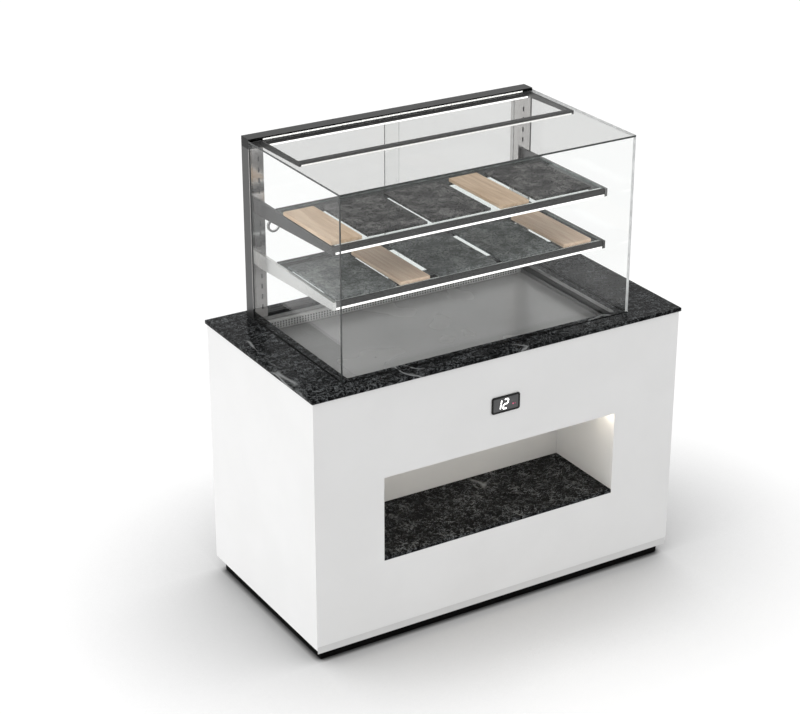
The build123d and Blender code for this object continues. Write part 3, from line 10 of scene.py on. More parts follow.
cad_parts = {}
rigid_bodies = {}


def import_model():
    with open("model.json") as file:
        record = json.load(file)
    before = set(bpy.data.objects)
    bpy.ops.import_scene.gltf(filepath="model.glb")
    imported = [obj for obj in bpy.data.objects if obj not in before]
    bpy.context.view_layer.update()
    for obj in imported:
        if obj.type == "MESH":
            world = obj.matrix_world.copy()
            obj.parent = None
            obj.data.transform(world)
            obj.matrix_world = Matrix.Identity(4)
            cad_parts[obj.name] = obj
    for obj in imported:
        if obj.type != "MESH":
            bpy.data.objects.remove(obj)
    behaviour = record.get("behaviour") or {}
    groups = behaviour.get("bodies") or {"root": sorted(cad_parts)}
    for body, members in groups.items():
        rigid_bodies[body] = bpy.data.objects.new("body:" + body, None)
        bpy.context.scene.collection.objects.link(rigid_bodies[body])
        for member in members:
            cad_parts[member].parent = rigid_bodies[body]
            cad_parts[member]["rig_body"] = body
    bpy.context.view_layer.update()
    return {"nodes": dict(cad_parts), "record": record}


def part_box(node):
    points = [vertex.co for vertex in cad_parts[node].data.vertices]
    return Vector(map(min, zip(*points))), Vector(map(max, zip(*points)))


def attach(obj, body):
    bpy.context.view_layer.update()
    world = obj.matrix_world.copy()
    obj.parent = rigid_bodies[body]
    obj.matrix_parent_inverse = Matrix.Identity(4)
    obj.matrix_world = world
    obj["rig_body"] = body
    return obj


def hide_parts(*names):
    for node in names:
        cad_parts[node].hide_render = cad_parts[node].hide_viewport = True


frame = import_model()

MM = 0.001

# Camera, worked out from the straight edges of the counter
CAMERA_PLACE = Vector((-3.2497, -5.1015, 3.4820))
CAMERA_TARGET = Vector((-0.3417, -0.2901, 0.9410))
CAMERA_LENS = 93.08
CAMERA_SENSOR = 36.0

# Studio light: an even sky, one wide soft lamp from the left, and a white floor
SKY_LEVEL = 0.835
LAMP_DIRECTION = Vector((-0.82, 0.36, 0.44))
LAMP_STRENGTH = 1.0
LAMP_SPREAD = math.radians(60)
FLOOR_SIZE = 60.0
FLOOR_COLOUR = 0.8
FLOOR_SEEN_COLOUR = 0.45
FLOOR_GLOW = 0.62
SHADE_REACH = 0.75
CONTACT_REACH = 0.022
SHADE_FALL = 2.4

# See-through faces that a ray may pass
GLASS_LAYERS = 40

# Mesh work
WELD = 0.01 * MM
FLAT_ANGLE = math.radians(0.5)
SHARP_ANGLE = math.radians(28)
CREASE_ANGLE = math.radians(50)
EDGE_SEGMENTS = 2
ROUND_PROFILE = 0.5

# Least part of a face's normal along an axis, for a face that looks that way or only leans that way
SQUARE = 0.9
LEANING = 0.5

# Softened edges of the pieces, where they differ from the usual one
EDGE_RADIUS = 0.5 * MM
EDGE_RADII = {
    "worktop": 1.2 * MM,
    "niche_stone_shelf": 0.8 * MM,
    "front_panel": 0.8 * MM,
    "left_side_panel": 0.8 * MM,
    "right_side_panel": 0.8 * MM,
    "rear_panel": 0.8 * MM,
    "rear_vent_panel": 0.6 * MM,
    "service_door": 0.6 * MM,
    "base_rails": 0.6 * MM,
    "niche_liner": 0.6 * MM,
    "plinth_boards": 0.8 * MM,
    "steel_frame": 1.0 * MM,
    "wooden_boards": 1.8 * MM,
    "well_insulation": 2.0 * MM,
    "controller": 0.9 * MM,
    "controller_window": 0.3 * MM,
    "deck_plate": 0.4 * MM,
    "deck_ledges": 0.3 * MM,
    "slotted_channels": 0.25 * MM,
    "light_arms": 0.6 * MM,
}
SMOOTH_ONLY = ("air_grille", "evaporator", "condenser", "refrigerant_pipes", "filter_drier", "compressor")


class Value:
    """One socket of a node graph, with which Python arithmetic can be done."""

    def __init__(self, graph, socket):
        self.graph = graph
        self.socket = socket

    def worked(self, operation, first, second=0.0):
        return self.graph.node("ShaderNodeMath", {"operation": operation}, {0: first, 1: second})

    def __add__(self, other):
        return self.worked("ADD", self, other)

    def __radd__(self, other):
        return self.worked("ADD", other, self)

    def __sub__(self, other):
        return self.worked("SUBTRACT", self, other)

    def __rsub__(self, other):
        return self.worked("SUBTRACT", other, self)

    def __mul__(self, other):
        return self.worked("MULTIPLY", self, other)

    def __rmul__(self, other):
        return self.worked("MULTIPLY", other, self)

    def __pow__(self, other):
        return self.worked("POWER", self, other)

    def __abs__(self):
        return self.worked("ABSOLUTE", self)

    def larger(self, other):
        return self.worked("MAXIMUM", self, other)

    def rise(self, low, high):
        """0 up to low, 1 from high on, and a smooth rise between them."""
        return self.graph.node("ShaderNodeMapRange", {"interpolation_type": "SMOOTHSTEP"},
                               {"Value": self, "From Min": low, "From Max": high})


class Graph:
    """A node tree that is filled by Python expressions."""

    def __init__(self, tree):
        self.tree = tree
        self.tree.nodes.clear()

    def node(self, kind, settings=None, inputs=None, out=0):
        """Adds a node, sets it up and returns one of its outputs."""
        made = self.tree.nodes.new(kind)
        for key, value in (settings or {}).items():
            setattr(made, key, value)
        for key, value in (inputs or {}).items():
            if isinstance(value, Value):
                self.tree.links.new(value.socket, made.inputs[key])
            else:
                made.inputs[key].default_value = value
        return Value(self, made.outputs[out]) if len(made.outputs) else None

    def mixed(self, factor, first, second):
        """The colour that lies between two others."""
        return self.node("ShaderNodeMix", {"data_type": "RGBA"}, {0: factor, 6: first, 7: second}, out=2)

    def seen_directly(self):
        """1 for rays from the camera, from a mirror or through glass, and 0 for light that is scattered."""
        rays = self.node("ShaderNodeLightPath", out="Is Camera Ray")
        sockets = rays.socket.node.outputs
        mirrored = Value(self, sockets["Is Glossy Ray"])
        passed = Value(self, sockets["Is Transmission Ray"])
        return rays.larger(mirrored).larger(passed)


class Finish(Graph):
    """A procedural material on the piece's own coordinates."""

    def __init__(self, name):
        self.material = bpy.data.materials.new(name)
        self.material.use_nodes = True
        super().__init__(self.material.node_tree)
        self.place = self.node("ShaderNodeTexCoord", out="Object")

    def stretched(self, scale, turn=(0.0, 0.0, 0.0)):
        return self.node("ShaderNodeMapping", None, {"Vector": self.place, "Scale": scale, "Rotation": turn})

    def noise(self, scale, detail=2.0, rough=0.5, warp=0.0, place=None):
        """Soft noise with about that many swells in a metre."""
        return self.node("ShaderNodeTexNoise", None,
                         {"Vector": place or self.place, "Scale": scale, "Detail": detail,
                          "Roughness": rough, "Distortion": warp})

    def cells(self, scale, out="Distance"):
        """Grains, about that many in a metre."""
        return self.node("ShaderNodeTexVoronoi", None, {"Vector": self.place, "Scale": scale}, out=out)

    def bump(self, height, depth):
        """The normal of a surface that rises by the depth where the height is 1."""
        return self.node("ShaderNodeBump", None, {"Height": height, "Distance": depth})

    def surface(self, inputs):
        return self.shown(self.node("ShaderNodeBsdfPrincipled", None, inputs))

    def shown(self, shader):
        self.node("ShaderNodeOutputMaterial", None, {"Surface": shader})
        return self.material


def rgb(red, green, blue):
    return (red, green, blue, 1.0)


def grey(level):
    return (level, level, level, 1.0)


# Finishes

LAMP_PITCH = 16.0 * MM
MIRROR_FALL = 5.0


def lacquer(name, dark, light):
    """Sprayed satin lacquer: a faint orange peel and a slightly uneven tone."""
    f = Finish(name)
    peel = f.noise(380, detail=1)
    cloud = f.noise(5, detail=3)
    colour = f.mixed(cloud.rise(0.3, 0.7), rgb(*dark), rgb(*light))
    return f.surface({"Base Color": colour, "Roughness": 0.3 + 0.08 * cloud, "Specular IOR Level": 0.3,
                      "Normal": f.bump(peel, 0.03 * MM)})


def black_stone():
    """Near black stone, densely mottled with grey crystals, with a few thin pale veins."""
    f = Finish("black_stone")
    crystals = f.noise(70, detail=5, rough=0.72, warp=1.0)
    flakes = f.noise(240, detail=4, rough=0.7)
    cloud = f.noise(14, detail=3, rough=0.55)
    run = f.noise(3.1, detail=3, rough=0.5, warp=0.6, place=f.stretched((1.0, 0.5, 1.0), (0, 0, 0.7)))
    broken = f.noise(8, detail=2).rise(0.5, 0.64)
    vein = (1 - abs(run - 0.5).rise(0.001, 0.009)) * broken
    mottle = (0.6 * crystals + 0.4 * flakes).rise(0.48, 0.59) * (0.5 + 0.5 * cloud.rise(0.4, 0.62))
    ground = f.mixed(mottle, rgb(0.0006, 0.0008, 0.0011), rgb(0.132, 0.14, 0.144))
    colour = f.mixed(0.6 * vein, ground, rgb(0.4, 0.41, 0.41))
    return f.surface({"Base Color": colour, "Roughness": 0.2 + 0.25 * mottle, "Specular IOR Level": 0.035,
                      "Normal": f.bump(mottle, 0.02 * MM)})


def slate(name, dark, light):
    """Riven slate: cloudy layers, pale scratches and a matt, split face."""
    f = Finish(name)
    layers = f.noise(48, detail=6, rough=0.7, warp=1.2)
    grain = f.noise(240, detail=4, rough=0.7)
    scratch = f.noise(1, detail=2, place=f.stretched((240, 14, 240), (0, 0, 0.5))).rise(0.66, 0.78)
    blotch = f.noise(16, detail=3)
    split = (0.5 * layers + 0.5 * grain).rise(0.4, 0.6) * (0.35 + 0.65 * blotch.rise(0.35, 0.62))
    tone = f.mixed(split, rgb(*dark), rgb(*light))
    colour = f.mixed(0.3 * scratch, tone, rgb(*[1.6 * part for part in light]))
    return f.surface({"Base Color": colour, "Roughness": 0.5 + 0.25 * layers, "Specular IOR Level": 0.18,
                      "Normal": f.bump(split, 0.2 * MM)})


def beech(name, dark, light):
    """Pale beech with its grain along the depth of the shelf and short dark rays."""
    f = Finish(name)
    bands = f.noise(1, detail=4, warp=0.6, place=f.stretched((70, 5, 70)))
    rays = f.noise(1, detail=2, place=f.stretched((900, 60, 900))).rise(0.62, 0.74)
    tone = f.mixed(bands.rise(0.3, 0.7), rgb(*dark), rgb(*light))
    colour = f.mixed(0.4 * rays, tone, rgb(*[0.62 * part for part in dark]))
    return f.surface({"Base Color": colour, "Roughness": 0.42 + 0.16 * bands, "Specular IOR Level": 0.3,
                      "Normal": f.bump(rays, -0.04 * MM)})


def brushed_metal(name, dark, light, rough, streaks, marks=0.0, metallic=1.0):
    """Metal with fine streaks along the axis whose stretch is least, and handling marks where given."""
    f = Finish(name)
    lines = f.noise(1, detail=4, rough=0.7, place=f.stretched(streaks))
    smear = f.noise(14, detail=3).rise(0.5, 0.75)
    colour = f.mixed(lines.rise(0.3, 0.7), rgb(*dark), rgb(*light))
    return f.surface({"Base Color": colour, "Metallic": metallic,
                      "Roughness": rough + 0.1 * (lines - 0.5) + marks * smear,
                      "Normal": f.bump(lines, 0.008 * MM)})


def deck_steel():
    """Dark satin steel with a soft haze."""
    f = Finish("deck_steel")
    haze = f.noise(4, detail=2)
    colour = f.mixed(haze.rise(0.3, 0.7), rgb(0.31, 0.308, 0.305), rgb(0.345, 0.343, 0.34))
    return f.surface({"Base Color": colour, "Metallic": 0.2, "Roughness": 0.255 + 0.03 * haze,
                      "Specular IOR Level": 0.5})


def galvanised_steel():
    """Zinc coated steel with its spangle."""
    f = Finish("galvanised_steel")
    spangle = f.cells(70, out="Color")
    fine = f.noise(600, detail=3)
    colour = f.mixed(spangle, rgb(0.42, 0.44, 0.45), rgb(0.62, 0.64, 0.65))
    return f.surface({"Base Color": colour, "Metallic": 1.0, "Roughness": 0.36 + 0.14 * spangle,
                      "Normal": f.bump(fine, 0.01 * MM)})


def dark_aluminium(name, dark, light):
    """Dark anodised aluminium, fine grained and almost matt."""
    f = Finish(name)
    grain = f.noise(1, detail=3, place=f.stretched((90, 1400, 1400)))
    wear = f.noise(22, detail=4).rise(0.55, 0.8)
    colour = f.mixed(grain.rise(0.3, 0.7), grey(dark), grey(light))
    return f.surface({"Base Color": colour, "Metallic": 1.0, "Roughness": 0.34 + 0.1 * grain + 0.05 * wear,
                      "Normal": f.bump(grain, 0.006 * MM)})


def lamp_diffuser(name, colour, strength):
    """A frosted strip over a row of lamps, a little brighter over each one."""
    f = Finish(name)
    along = f.node("ShaderNodeSeparateXYZ", None, {"Vector": f.place}, out="X")
    spots = along.worked("SINE", along * (2 * math.pi / LAMP_PITCH))
    dim = rgb(*[0.86 * part for part in colour])
    glow = f.mixed(0.5 + 0.5 * spots, dim, rgb(*colour))
    frost = f.noise(900, detail=2)
    return f.surface({"Base Color": rgb(0.9, 0.9, 0.88), "Roughness": 0.4 + 0.2 * frost,
                      "Emission Color": glow, "Emission Strength": strength})


def glass(name, tint, mirror, grazing, smear=0.004):
    """Clear float glass: see-through, with a mirror that grows towards grazing angles and faint smears."""
    f = Finish(name)
    facing = f.node("ShaderNodeLayerWeight", None, {"Blend": 0.5}, out="Facing")
    wiped = f.noise(1, detail=4, warp=0.8, place=f.stretched((5, 5, 2))).rise(0.45, 0.8)
    shine = mirror + smear * wiped + grazing * facing ** MIRROR_FALL
    through = f.node("ShaderNodeBsdfTransparent", None, {"Color": rgb(*tint)})
    gloss = f.node("ShaderNodeBsdfPrincipled", None,
                   {"Base Color": grey(1.0), "Metallic": 1.0, "Roughness": 0.02})
    return f.shown(f.node("ShaderNodeMixShader", None, {0: shine, 1: through, 2: gloss}))


def glass_edge(name, dark, light, glow):
    """The polished edge of a pane, painted dark or pale for the light that it passes on; its glow is painted
    light.
    """
    f = Finish(name)
    band = f.noise(1, detail=3, place=f.stretched((40, 40, 40)))
    colour = f.mixed(band.rise(0.35, 0.65), rgb(*dark), rgb(*light))
    return f.surface({"Base Color": colour, "Roughness": 0.12 + 0.1 * band, "Specular IOR Level": 0.5,
                      "Emission Color": colour, "Emission Strength": glow})


def plastic(name, dark, light, rough, texture, depth, gloss=0.4):
    """Moulded plastic with a fine texture and slightly uneven gloss."""
    f = Finish(name)
    skin = f.noise(texture, detail=3)
    cloud = f.noise(18, detail=3)
    colour = f.mixed(cloud.rise(0.35, 0.65), rgb(*dark), rgb(*light))
    return f.surface({"Base Color": colour, "Roughness": rough + 0.12 * (cloud - 0.5),
                      "Specular IOR Level": gloss, "Normal": f.bump(skin, depth)})


def lit(name, colour, strength):
    """A glowing part of the display, slightly uneven like a printed segment."""
    f = Finish(name)
    uneven = f.noise(700, detail=2)
    glow = f.mixed(uneven, rgb(*[0.92 * part for part in colour]), rgb(*colour))
    return f.surface({"Base Color": glow, "Roughness": 0.5, "Emission Color": glow,
                      "Emission Strength": strength})


def foam():
    """Cut polyurethane foam with open pores and yellowed patches."""
    f = Finish("foam")
    pores = f.cells(420)
    patch = f.noise(7, detail=4)
    colour = f.mixed(patch.rise(0.35, 0.7), rgb(0.84, 0.78, 0.58), rgb(0.72, 0.6, 0.36))
    return f.surface({"Base Color": colour, "Roughness": 0.85 + 0.1 * patch,
                      "Normal": f.bump(pores, 0.5 * MM)})


def copper():
    """Drawn copper tube with brown oxide patches."""
    f = Finish("copper")
    oxide = f.noise(35, detail=5, rough=0.65).rise(0.42, 0.66)
    colour = f.mixed(oxide, rgb(0.78, 0.43, 0.28), rgb(0.38, 0.18, 0.1))
    return f.surface({"Base Color": colour, "Metallic": 1.0, "Roughness": 0.24 + 0.3 * oxide})


FINISHES = {
    "white_lacquer": lacquer("white_lacquer", (0.845, 0.845, 0.842), (0.87, 0.87, 0.868)),
    "black_stone": black_stone(),
    # Near black, darker than paint: the plinth's own black with painted shade of the gap under the cabinet
    "plinth_black": plastic("plinth_black", (0.002, 0.002, 0.002), (0.004, 0.004, 0.004),
                            rough=0.6, texture=1500, depth=0.03 * MM, gloss=0.06),
    "galvanised_steel": galvanised_steel(),
    "stainless": brushed_metal("stainless", (0.58, 0.58, 0.57), (0.72, 0.72, 0.71),
                               rough=0.28, streaks=(8, 700, 700), marks=0.08),
    "deck_steel": deck_steel(),
    "polished_steel": brushed_metal("polished_steel", (0.56, 0.546, 0.536), (0.68, 0.666, 0.656),
                                    rough=0.14, streaks=(800, 800, 10), marks=0.06),
    "dark_aluminium": dark_aluminium("dark_aluminium", 0.05, 0.07),
    "track_aluminium": brushed_metal("track_aluminium", (0.46, 0.46, 0.46), (0.56, 0.56, 0.56),
                                     rough=0.3, streaks=(6, 900, 900)),
    "lamp_diffuser": lamp_diffuser("lamp_diffuser", (1.0, 0.99, 0.97), strength=2.6),
    "clear_glass": glass("clear_glass", (0.985, 0.988, 0.986), mirror=0.014, grazing=0.8),
    "slate": slate("slate", (0.005, 0.005, 0.005), (0.235, 0.23, 0.225)),
    "beech": beech("beech", (0.6, 0.42, 0.27), (0.78, 0.6, 0.43)),
    "black_plastic": plastic("black_plastic", (0.005, 0.005, 0.005), (0.009, 0.009, 0.009),
                             rough=0.35, texture=2200, depth=0.015 * MM, gloss=0.2),
    "display_window": plastic("display_window", (0.075, 0.075, 0.078), (0.09, 0.09, 0.093),
                              rough=0.12, texture=300, depth=0.002 * MM),
    "foam": foam(),
    "fin_aluminium": brushed_metal("fin_aluminium", (0.56, 0.57, 0.58), (0.74, 0.75, 0.76),
                                   rough=0.32, streaks=(900, 900, 40)),
    "fan_plastic": plastic("fan_plastic", (0.012, 0.012, 0.012), (0.024, 0.024, 0.024),
                           rough=0.45, texture=1800, depth=0.02 * MM),
    "compressor_black": plastic("compressor_black", (0.01, 0.01, 0.011), (0.022, 0.022, 0.023),
                                rough=0.28, texture=260, depth=0.04 * MM),
    "copper": copper(),
    "drain_plastic": plastic("drain_plastic", (0.74, 0.74, 0.73), (0.82, 0.82, 0.81),
                             rough=0.4, texture=900, depth=0.01 * MM),
}
ROOF_GLASS = glass("roof_glass", (0.84, 0.84, 0.837), mirror=0.012, grazing=0.1)
SHELF_GLASS = glass("shelf_glass", (0.9, 0.92, 0.915), mirror=0.01, grazing=0.2)
# Paler copies of slate and beech for the lower shelf: painted light from the lamps above it
PAINTED_LIT_SLATE = slate("pale_slate", (0.062, 0.07, 0.07), (0.4, 0.426, 0.42))
PAINTED_LIT_BEECH = beech("pale_beech", (0.8, 0.58, 0.42), (0.95, 0.76, 0.59))
# A darker copy of the white lacquer: painted shade on the recessed base rails
RAIL_SHADE_LACQUER = lacquer("base_lacquer", (0.7, 0.7, 0.697), (0.73, 0.73, 0.727))
# A darker copy of the white lacquer: painted shade on the back of the niche
NICHE_SHADE_LACQUER = lacquer("niche_back", (0.7, 0.7, 0.695), (0.73, 0.73, 0.725))
# Pane edges: painted highlights, with a painted glow, and painted shade
PAINTED_LIT_EDGE = glass_edge("pale_edge", (0.62, 0.63, 0.63), (0.76, 0.77, 0.77), glow=0.15)
PAINTED_GLOW_EDGE = glass_edge("faded_edge", (0.84, 0.85, 0.85), (0.92, 0.93, 0.93), glow=0.12)
PAINTED_SHADE_EDGE = glass_edge("dark_edge", (0.02, 0.024, 0.024), (0.05, 0.055, 0.054), glow=0.0)
SHELF_EDGE = glass_edge("shelf_edge", (0.16, 0.19, 0.18), (0.3, 0.33, 0.32), glow=0.0)
WARM_DIFFUSER = lamp_diffuser("warm_diffuser", (1.0, 0.9, 0.74), strength=9.5)
BEAM_DIFFUSER = lamp_diffuser("beam_diffuser", (1.0, 0.99, 0.97), strength=2.0)
SHELF_DIFFUSER = lamp_diffuser("shelf_diffuser", (1.0, 0.99, 0.97), strength=0.9)
# A painted glow on a white strip that is no lamp
SEAT_PAINTED_GLOW = lamp_diffuser("seat_strip", (1.0, 0.99, 0.97), strength=0.45)
# Darkened steel: painted shade and reflection on the tub's walls
TUB_SHADE_STEEL = brushed_metal("tub_steel", (0.09, 0.09, 0.09), (0.15, 0.15, 0.15),
                          rough=0.34, streaks=(8, 700, 700))
GRILLE_STEEL = brushed_metal("grille_steel", (0.8, 0.8, 0.79), (0.9, 0.9, 0.89),
                             rough=0.3, streaks=(8, 700, 700), metallic=0.25)
# Darkened steel: painted shade along the sides of the deck plate
STRIP_SHADE_STEEL = brushed_metal("strip_steel", (0.2, 0.2, 0.2), (0.28, 0.28, 0.28),
                            rough=0.3, streaks=(8, 700, 700))
# Pale metal on the stone's cut edges: a painted highlight
PAINTED_HIGHLIGHT_EDGE = brushed_metal("cut_edge", (0.4, 0.4, 0.4), (0.52, 0.52, 0.52), rough=0.3, streaks=(60, 60, 60))
BLACK_TRACK = plastic("black_track", (0.006, 0.006, 0.007), (0.011, 0.011, 0.012),
                      rough=0.14, texture=900, depth=0.002 * MM)
POST_ALUMINIUM = dark_aluminium("post_aluminium", 0.085, 0.12)
BEAM_ALUMINIUM = dark_aluminium("beam_aluminium", 0.012, 0.019)
ARM_ALUMINIUM = dark_aluminium("arm_aluminium", 0.05, 0.075)
# Pale aluminium: painted highlight on one bracket and on one arm
PAINTED_LIT_ALUMINIUM = dark_aluminium("pale_aluminium", 0.14, 0.2)
# Matt black: the shelf rear rails, and painted shade in the walls of slots and holes
MATT_BLACK = plastic("matt_black", (0.01, 0.01, 0.01), (0.016, 0.016, 0.016),
                     rough=0.6, texture=900, depth=0.01 * MM)
PULL_STEEL = brushed_metal("pull_steel", (0.72, 0.72, 0.71), (0.84, 0.84, 0.83),
                           rough=0.2, streaks=(300, 300, 300))
DIGIT_WHITE = lit("digit_white", (1.0, 1.0, 1.0), strength=1.6)
DOT_RED = lit("dot_red", (0.5, 0.08, 0.16), strength=0.75)
DOT_DIM = lit("dot_dim", (0.2, 0.04, 0.08), strength=0.5)
RUBBER = plastic("rubber", (0.012, 0.012, 0.012), (0.02, 0.02, 0.02),
                 rough=0.7, texture=1200, depth=0.04 * MM)
SILICONE = plastic("silicone", (0.003, 0.003, 0.003), (0.005, 0.005, 0.005),
                   rough=0.45, texture=500, depth=0.01 * MM, gloss=0.1)
SCREW_STEEL = brushed_metal("screw_steel", (0.5, 0.5, 0.5), (0.62, 0.62, 0.62),
                            rough=0.25, streaks=(300, 300, 300))

SLOT_OF = {entry["node"]: entry["material_slot"] for entry in frame["record"]["subparts"]}


# Meshes

def welded(node):
    """A copy of a CAD node's triangles, joined at their corners and across flat faces."""
    work = bmesh.new()
    work.from_mesh(frame["nodes"][node].data)
    bmesh.ops.remove_doubles(work, verts=work.verts, dist=WELD)
    shared = [edge for edge in work.edges if len(edge.link_faces) > 2]
    bmesh.ops.split_edges(work, edges=shared)
    bmesh.ops.dissolve_limit(work, angle_limit=FLAT_ANGLE, verts=work.verts, edges=work.edges)
    return work


def soften(work, radius):
    """Rounds the sharp edges."""
    sharp = [edge for edge in work.edges if edge.is_manifold and edge.calc_face_angle() > SHARP_ANGLE]
    bmesh.ops.bevel(work, geom=sharp, offset=radius, offset_type="OFFSET", segments=EDGE_SEGMENTS,
                    profile=ROUND_PROFILE, affect="EDGES", clamp_overlap=True)


def plain_mesh(made, modifier):
    """Turns what a modifier makes into the object's plain mesh."""
    shape = made.evaluated_get(bpy.context.evaluated_depsgraph_get())
    mesh = bpy.data.meshes.new_from_object(shape)
    made.modifiers.remove(modifier)
    made.data = mesh


def shade(made):
    """Smooth shading between creases, in which large flat faces stay flat."""
    for face in made.data.polygons:
        face.use_smooth = True
    made.data.set_sharp_from_angle(angle=CREASE_ANGLE)
    weigh = made.modifiers.new("weigh", "WEIGHTED_NORMAL")
    weigh.keep_sharp = True
    plain_mesh(made, weigh)
    return made


def new_object(name, work, finishes):
    """Turns a bmesh into an object at the origin."""
    mesh = bpy.data.meshes.new(name)
    work.to_mesh(mesh)
    work.free()
    for finish in finishes:
        mesh.materials.append(finish)
    made = bpy.data.objects.new(name, mesh)
    bpy.context.scene.collection.objects.link(made)
    return shade(made)


def placed(made, body, slot, *nodes):
    """Ties a finished piece to its body and hides the CAD nodes it stands for; the slot is not used."""
    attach(made, body)
    if nodes:
        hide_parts(*nodes)
    return made


def body_of(node):
    return frame["nodes"][node]["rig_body"]


def dressed(node, finishes, paint=None):
    """The CAD node with softened edges; paint(face) picks one of the finishes for each face."""
    work = welded(node)
    if node not in SMOOTH_ONLY:
        soften(work, EDGE_RADII.get(node, EDGE_RADIUS))
    if paint:
        for face in work.faces:
            face.material_index = paint(face)
    made = new_object(node + "_finished", work, finishes)
    return placed(made, body_of(node), SLOT_OF[node], node)


def solids_of(node):
    """The lowest and highest corners of each separate solid in a CAD node, from left to right."""
    work = welded(node)
    left = set(work.verts)
    boxes = []
    while left:
        grown = [left.pop()]
        corners = []
        while grown:
            vert = grown.pop()
            corners.append(vert.co.copy())
            for edge in vert.link_edges:
                other = edge.other_vert(vert)
                if other in left:
                    left.remove(other)
                    grown.append(other)
        low = Vector([min(c[axis] for c in corners) for axis in range(3)])
        high = Vector([max(c[axis] for c in corners) for axis in range(3)])
        boxes.append((low, high))
    work.free()
    return sorted(boxes, key=lambda box: (round(box[0].z, 4), box[0].x))


class Builder(Graph):
    """A Geometry Nodes tree with named inputs, run on a carrier mesh."""

    def __init__(self, name, sizes):
        super().__init__(bpy.data.node_groups.new(name, "GeometryNodeTree"))
        self.face = self.tree.interface
        self.face.new_socket("Carrier", in_out="INPUT", socket_type="NodeSocketGeometry")
        self.face.new_socket("Finish", in_out="INPUT", socket_type="NodeSocketMaterial")
        for size in sizes:
            self.face.new_socket(size, in_out="INPUT", socket_type="NodeSocketFloat")
        self.face.new_socket("Made", in_out="OUTPUT", socket_type="NodeSocketGeometry")
        self.carrier = self.node("NodeGroupInput", out="Carrier")

    def given(self, name):
        """One of the tree's inputs."""
        return Value(self, self.carrier.socket.node.outputs[name])

    def ended(self, shape):
        real = self.node("GeometryNodeRealizeInstances", None, {"Geometry": shape})
        coloured = self.node("GeometryNodeSetMaterial", None,
                             {"Geometry": real, "Material": self.given("Finish")})
        self.node("NodeGroupOutput", None, {"Made": coloured})
        return self

    def grown(self, name, carrier, inputs):
        """Runs the tree on a carrier mesh and turns the result into a plain mesh."""
        made = bpy.data.objects.new(name, carrier)
        bpy.context.scene.collection.objects.link(made)
        grow = made.modifiers.new("grow", "NODES")
        grow.node_group = self.tree
        for socket in self.face.items_tree:
            if socket.in_out == "INPUT" and socket.name in inputs:
                grow[socket.identifier] = inputs[socket.name]
        plain_mesh(made, grow)
        return shade(made)


def seats_mesh(seats):
    """A mesh of loose points, each with the direction that it faces."""
    mesh = bpy.data.meshes.new("seats")
    mesh.from_pydata([place for place, facing in seats], [], [])
    facings = mesh.attributes.new("facing", "FLOAT_VECTOR", "POINT")
    for entry, (place, facing) in zip(facings.data, seats):
        entry.vector = facing
    return mesh


def paths_mesh(paths):
    """A mesh of edges along paths, each given as its points and whether it is a ring."""
    points = []
    edges = []
    for path, ring in paths:
        first = len(points)
        points += [tuple(point) for point in path]
        edges += [(i, i + 1) for i in range(first, len(points) - 1)]
        if ring:
            edges.append((len(points) - 1, first))
    mesh = bpy.data.meshes.new("paths")
    mesh.from_pydata(points, edges, [])
    return mesh


# Glass

def pane(node, face_finish, edge_finish, right_finish=None):
    """A pane whose narrow sides take the edge finish, and its right-hand side another one where given."""
    low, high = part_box(node)
    size = high - low
    thin = min(range(3), key=lambda axis: size[axis])

    def paint(face):
        if abs(face.normal[thin]) > SQUARE:
            return 0
        return 2 if right_finish and face.normal.x > LEANING else 1

    return dressed(node, [face_finish, edge_finish, right_finish or edge_finish], paint)


# Each pane's edges take painted light or shade; the right-hand finish, where given, is a painted highlight
pane("front_glass", FINISHES["clear_glass"], PAINTED_SHADE_EDGE, PAINTED_LIT_EDGE)
pane("left_glass", FINISHES["clear_glass"], PAINTED_SHADE_EDGE)
pane("right_glass", FINISHES["clear_glass"], PAINTED_LIT_EDGE)
pane("left_door_glass", FINISHES["clear_glass"], PAINTED_GLOW_EDGE)
pane("right_door_glass", FINISHES["clear_glass"], PAINTED_SHADE_EDGE, PAINTED_LIT_EDGE)
pane("top_glass", ROOF_GLASS, PAINTED_SHADE_EDGE, PAINTED_LIT_EDGE)
for node in ("upper_shelf_glass", "lower_shelf_glass"):
    pane(node, SHELF_GLASS, SHELF_EDGE)


# Slate boards

SLATE_CELL = 6.0 * MM
SLATE_ROWS = 3
CHIP_DEPTH = 1.8 * MM
CHIP_PITCH = 9.0 * MM
CHIP_AT_FOOT = 0.45
SPLIT_DEPTH = 0.5 * MM
SPLIT_PITCH = 40.0 * MM


def uneven(place, finer, octaves):
    """Fractal noise, mostly between 0 and 1, whose octaves get so many times finer."""
    return 0.5 + 0.5 * noise.fractal(place, 1.0, finer, octaves)


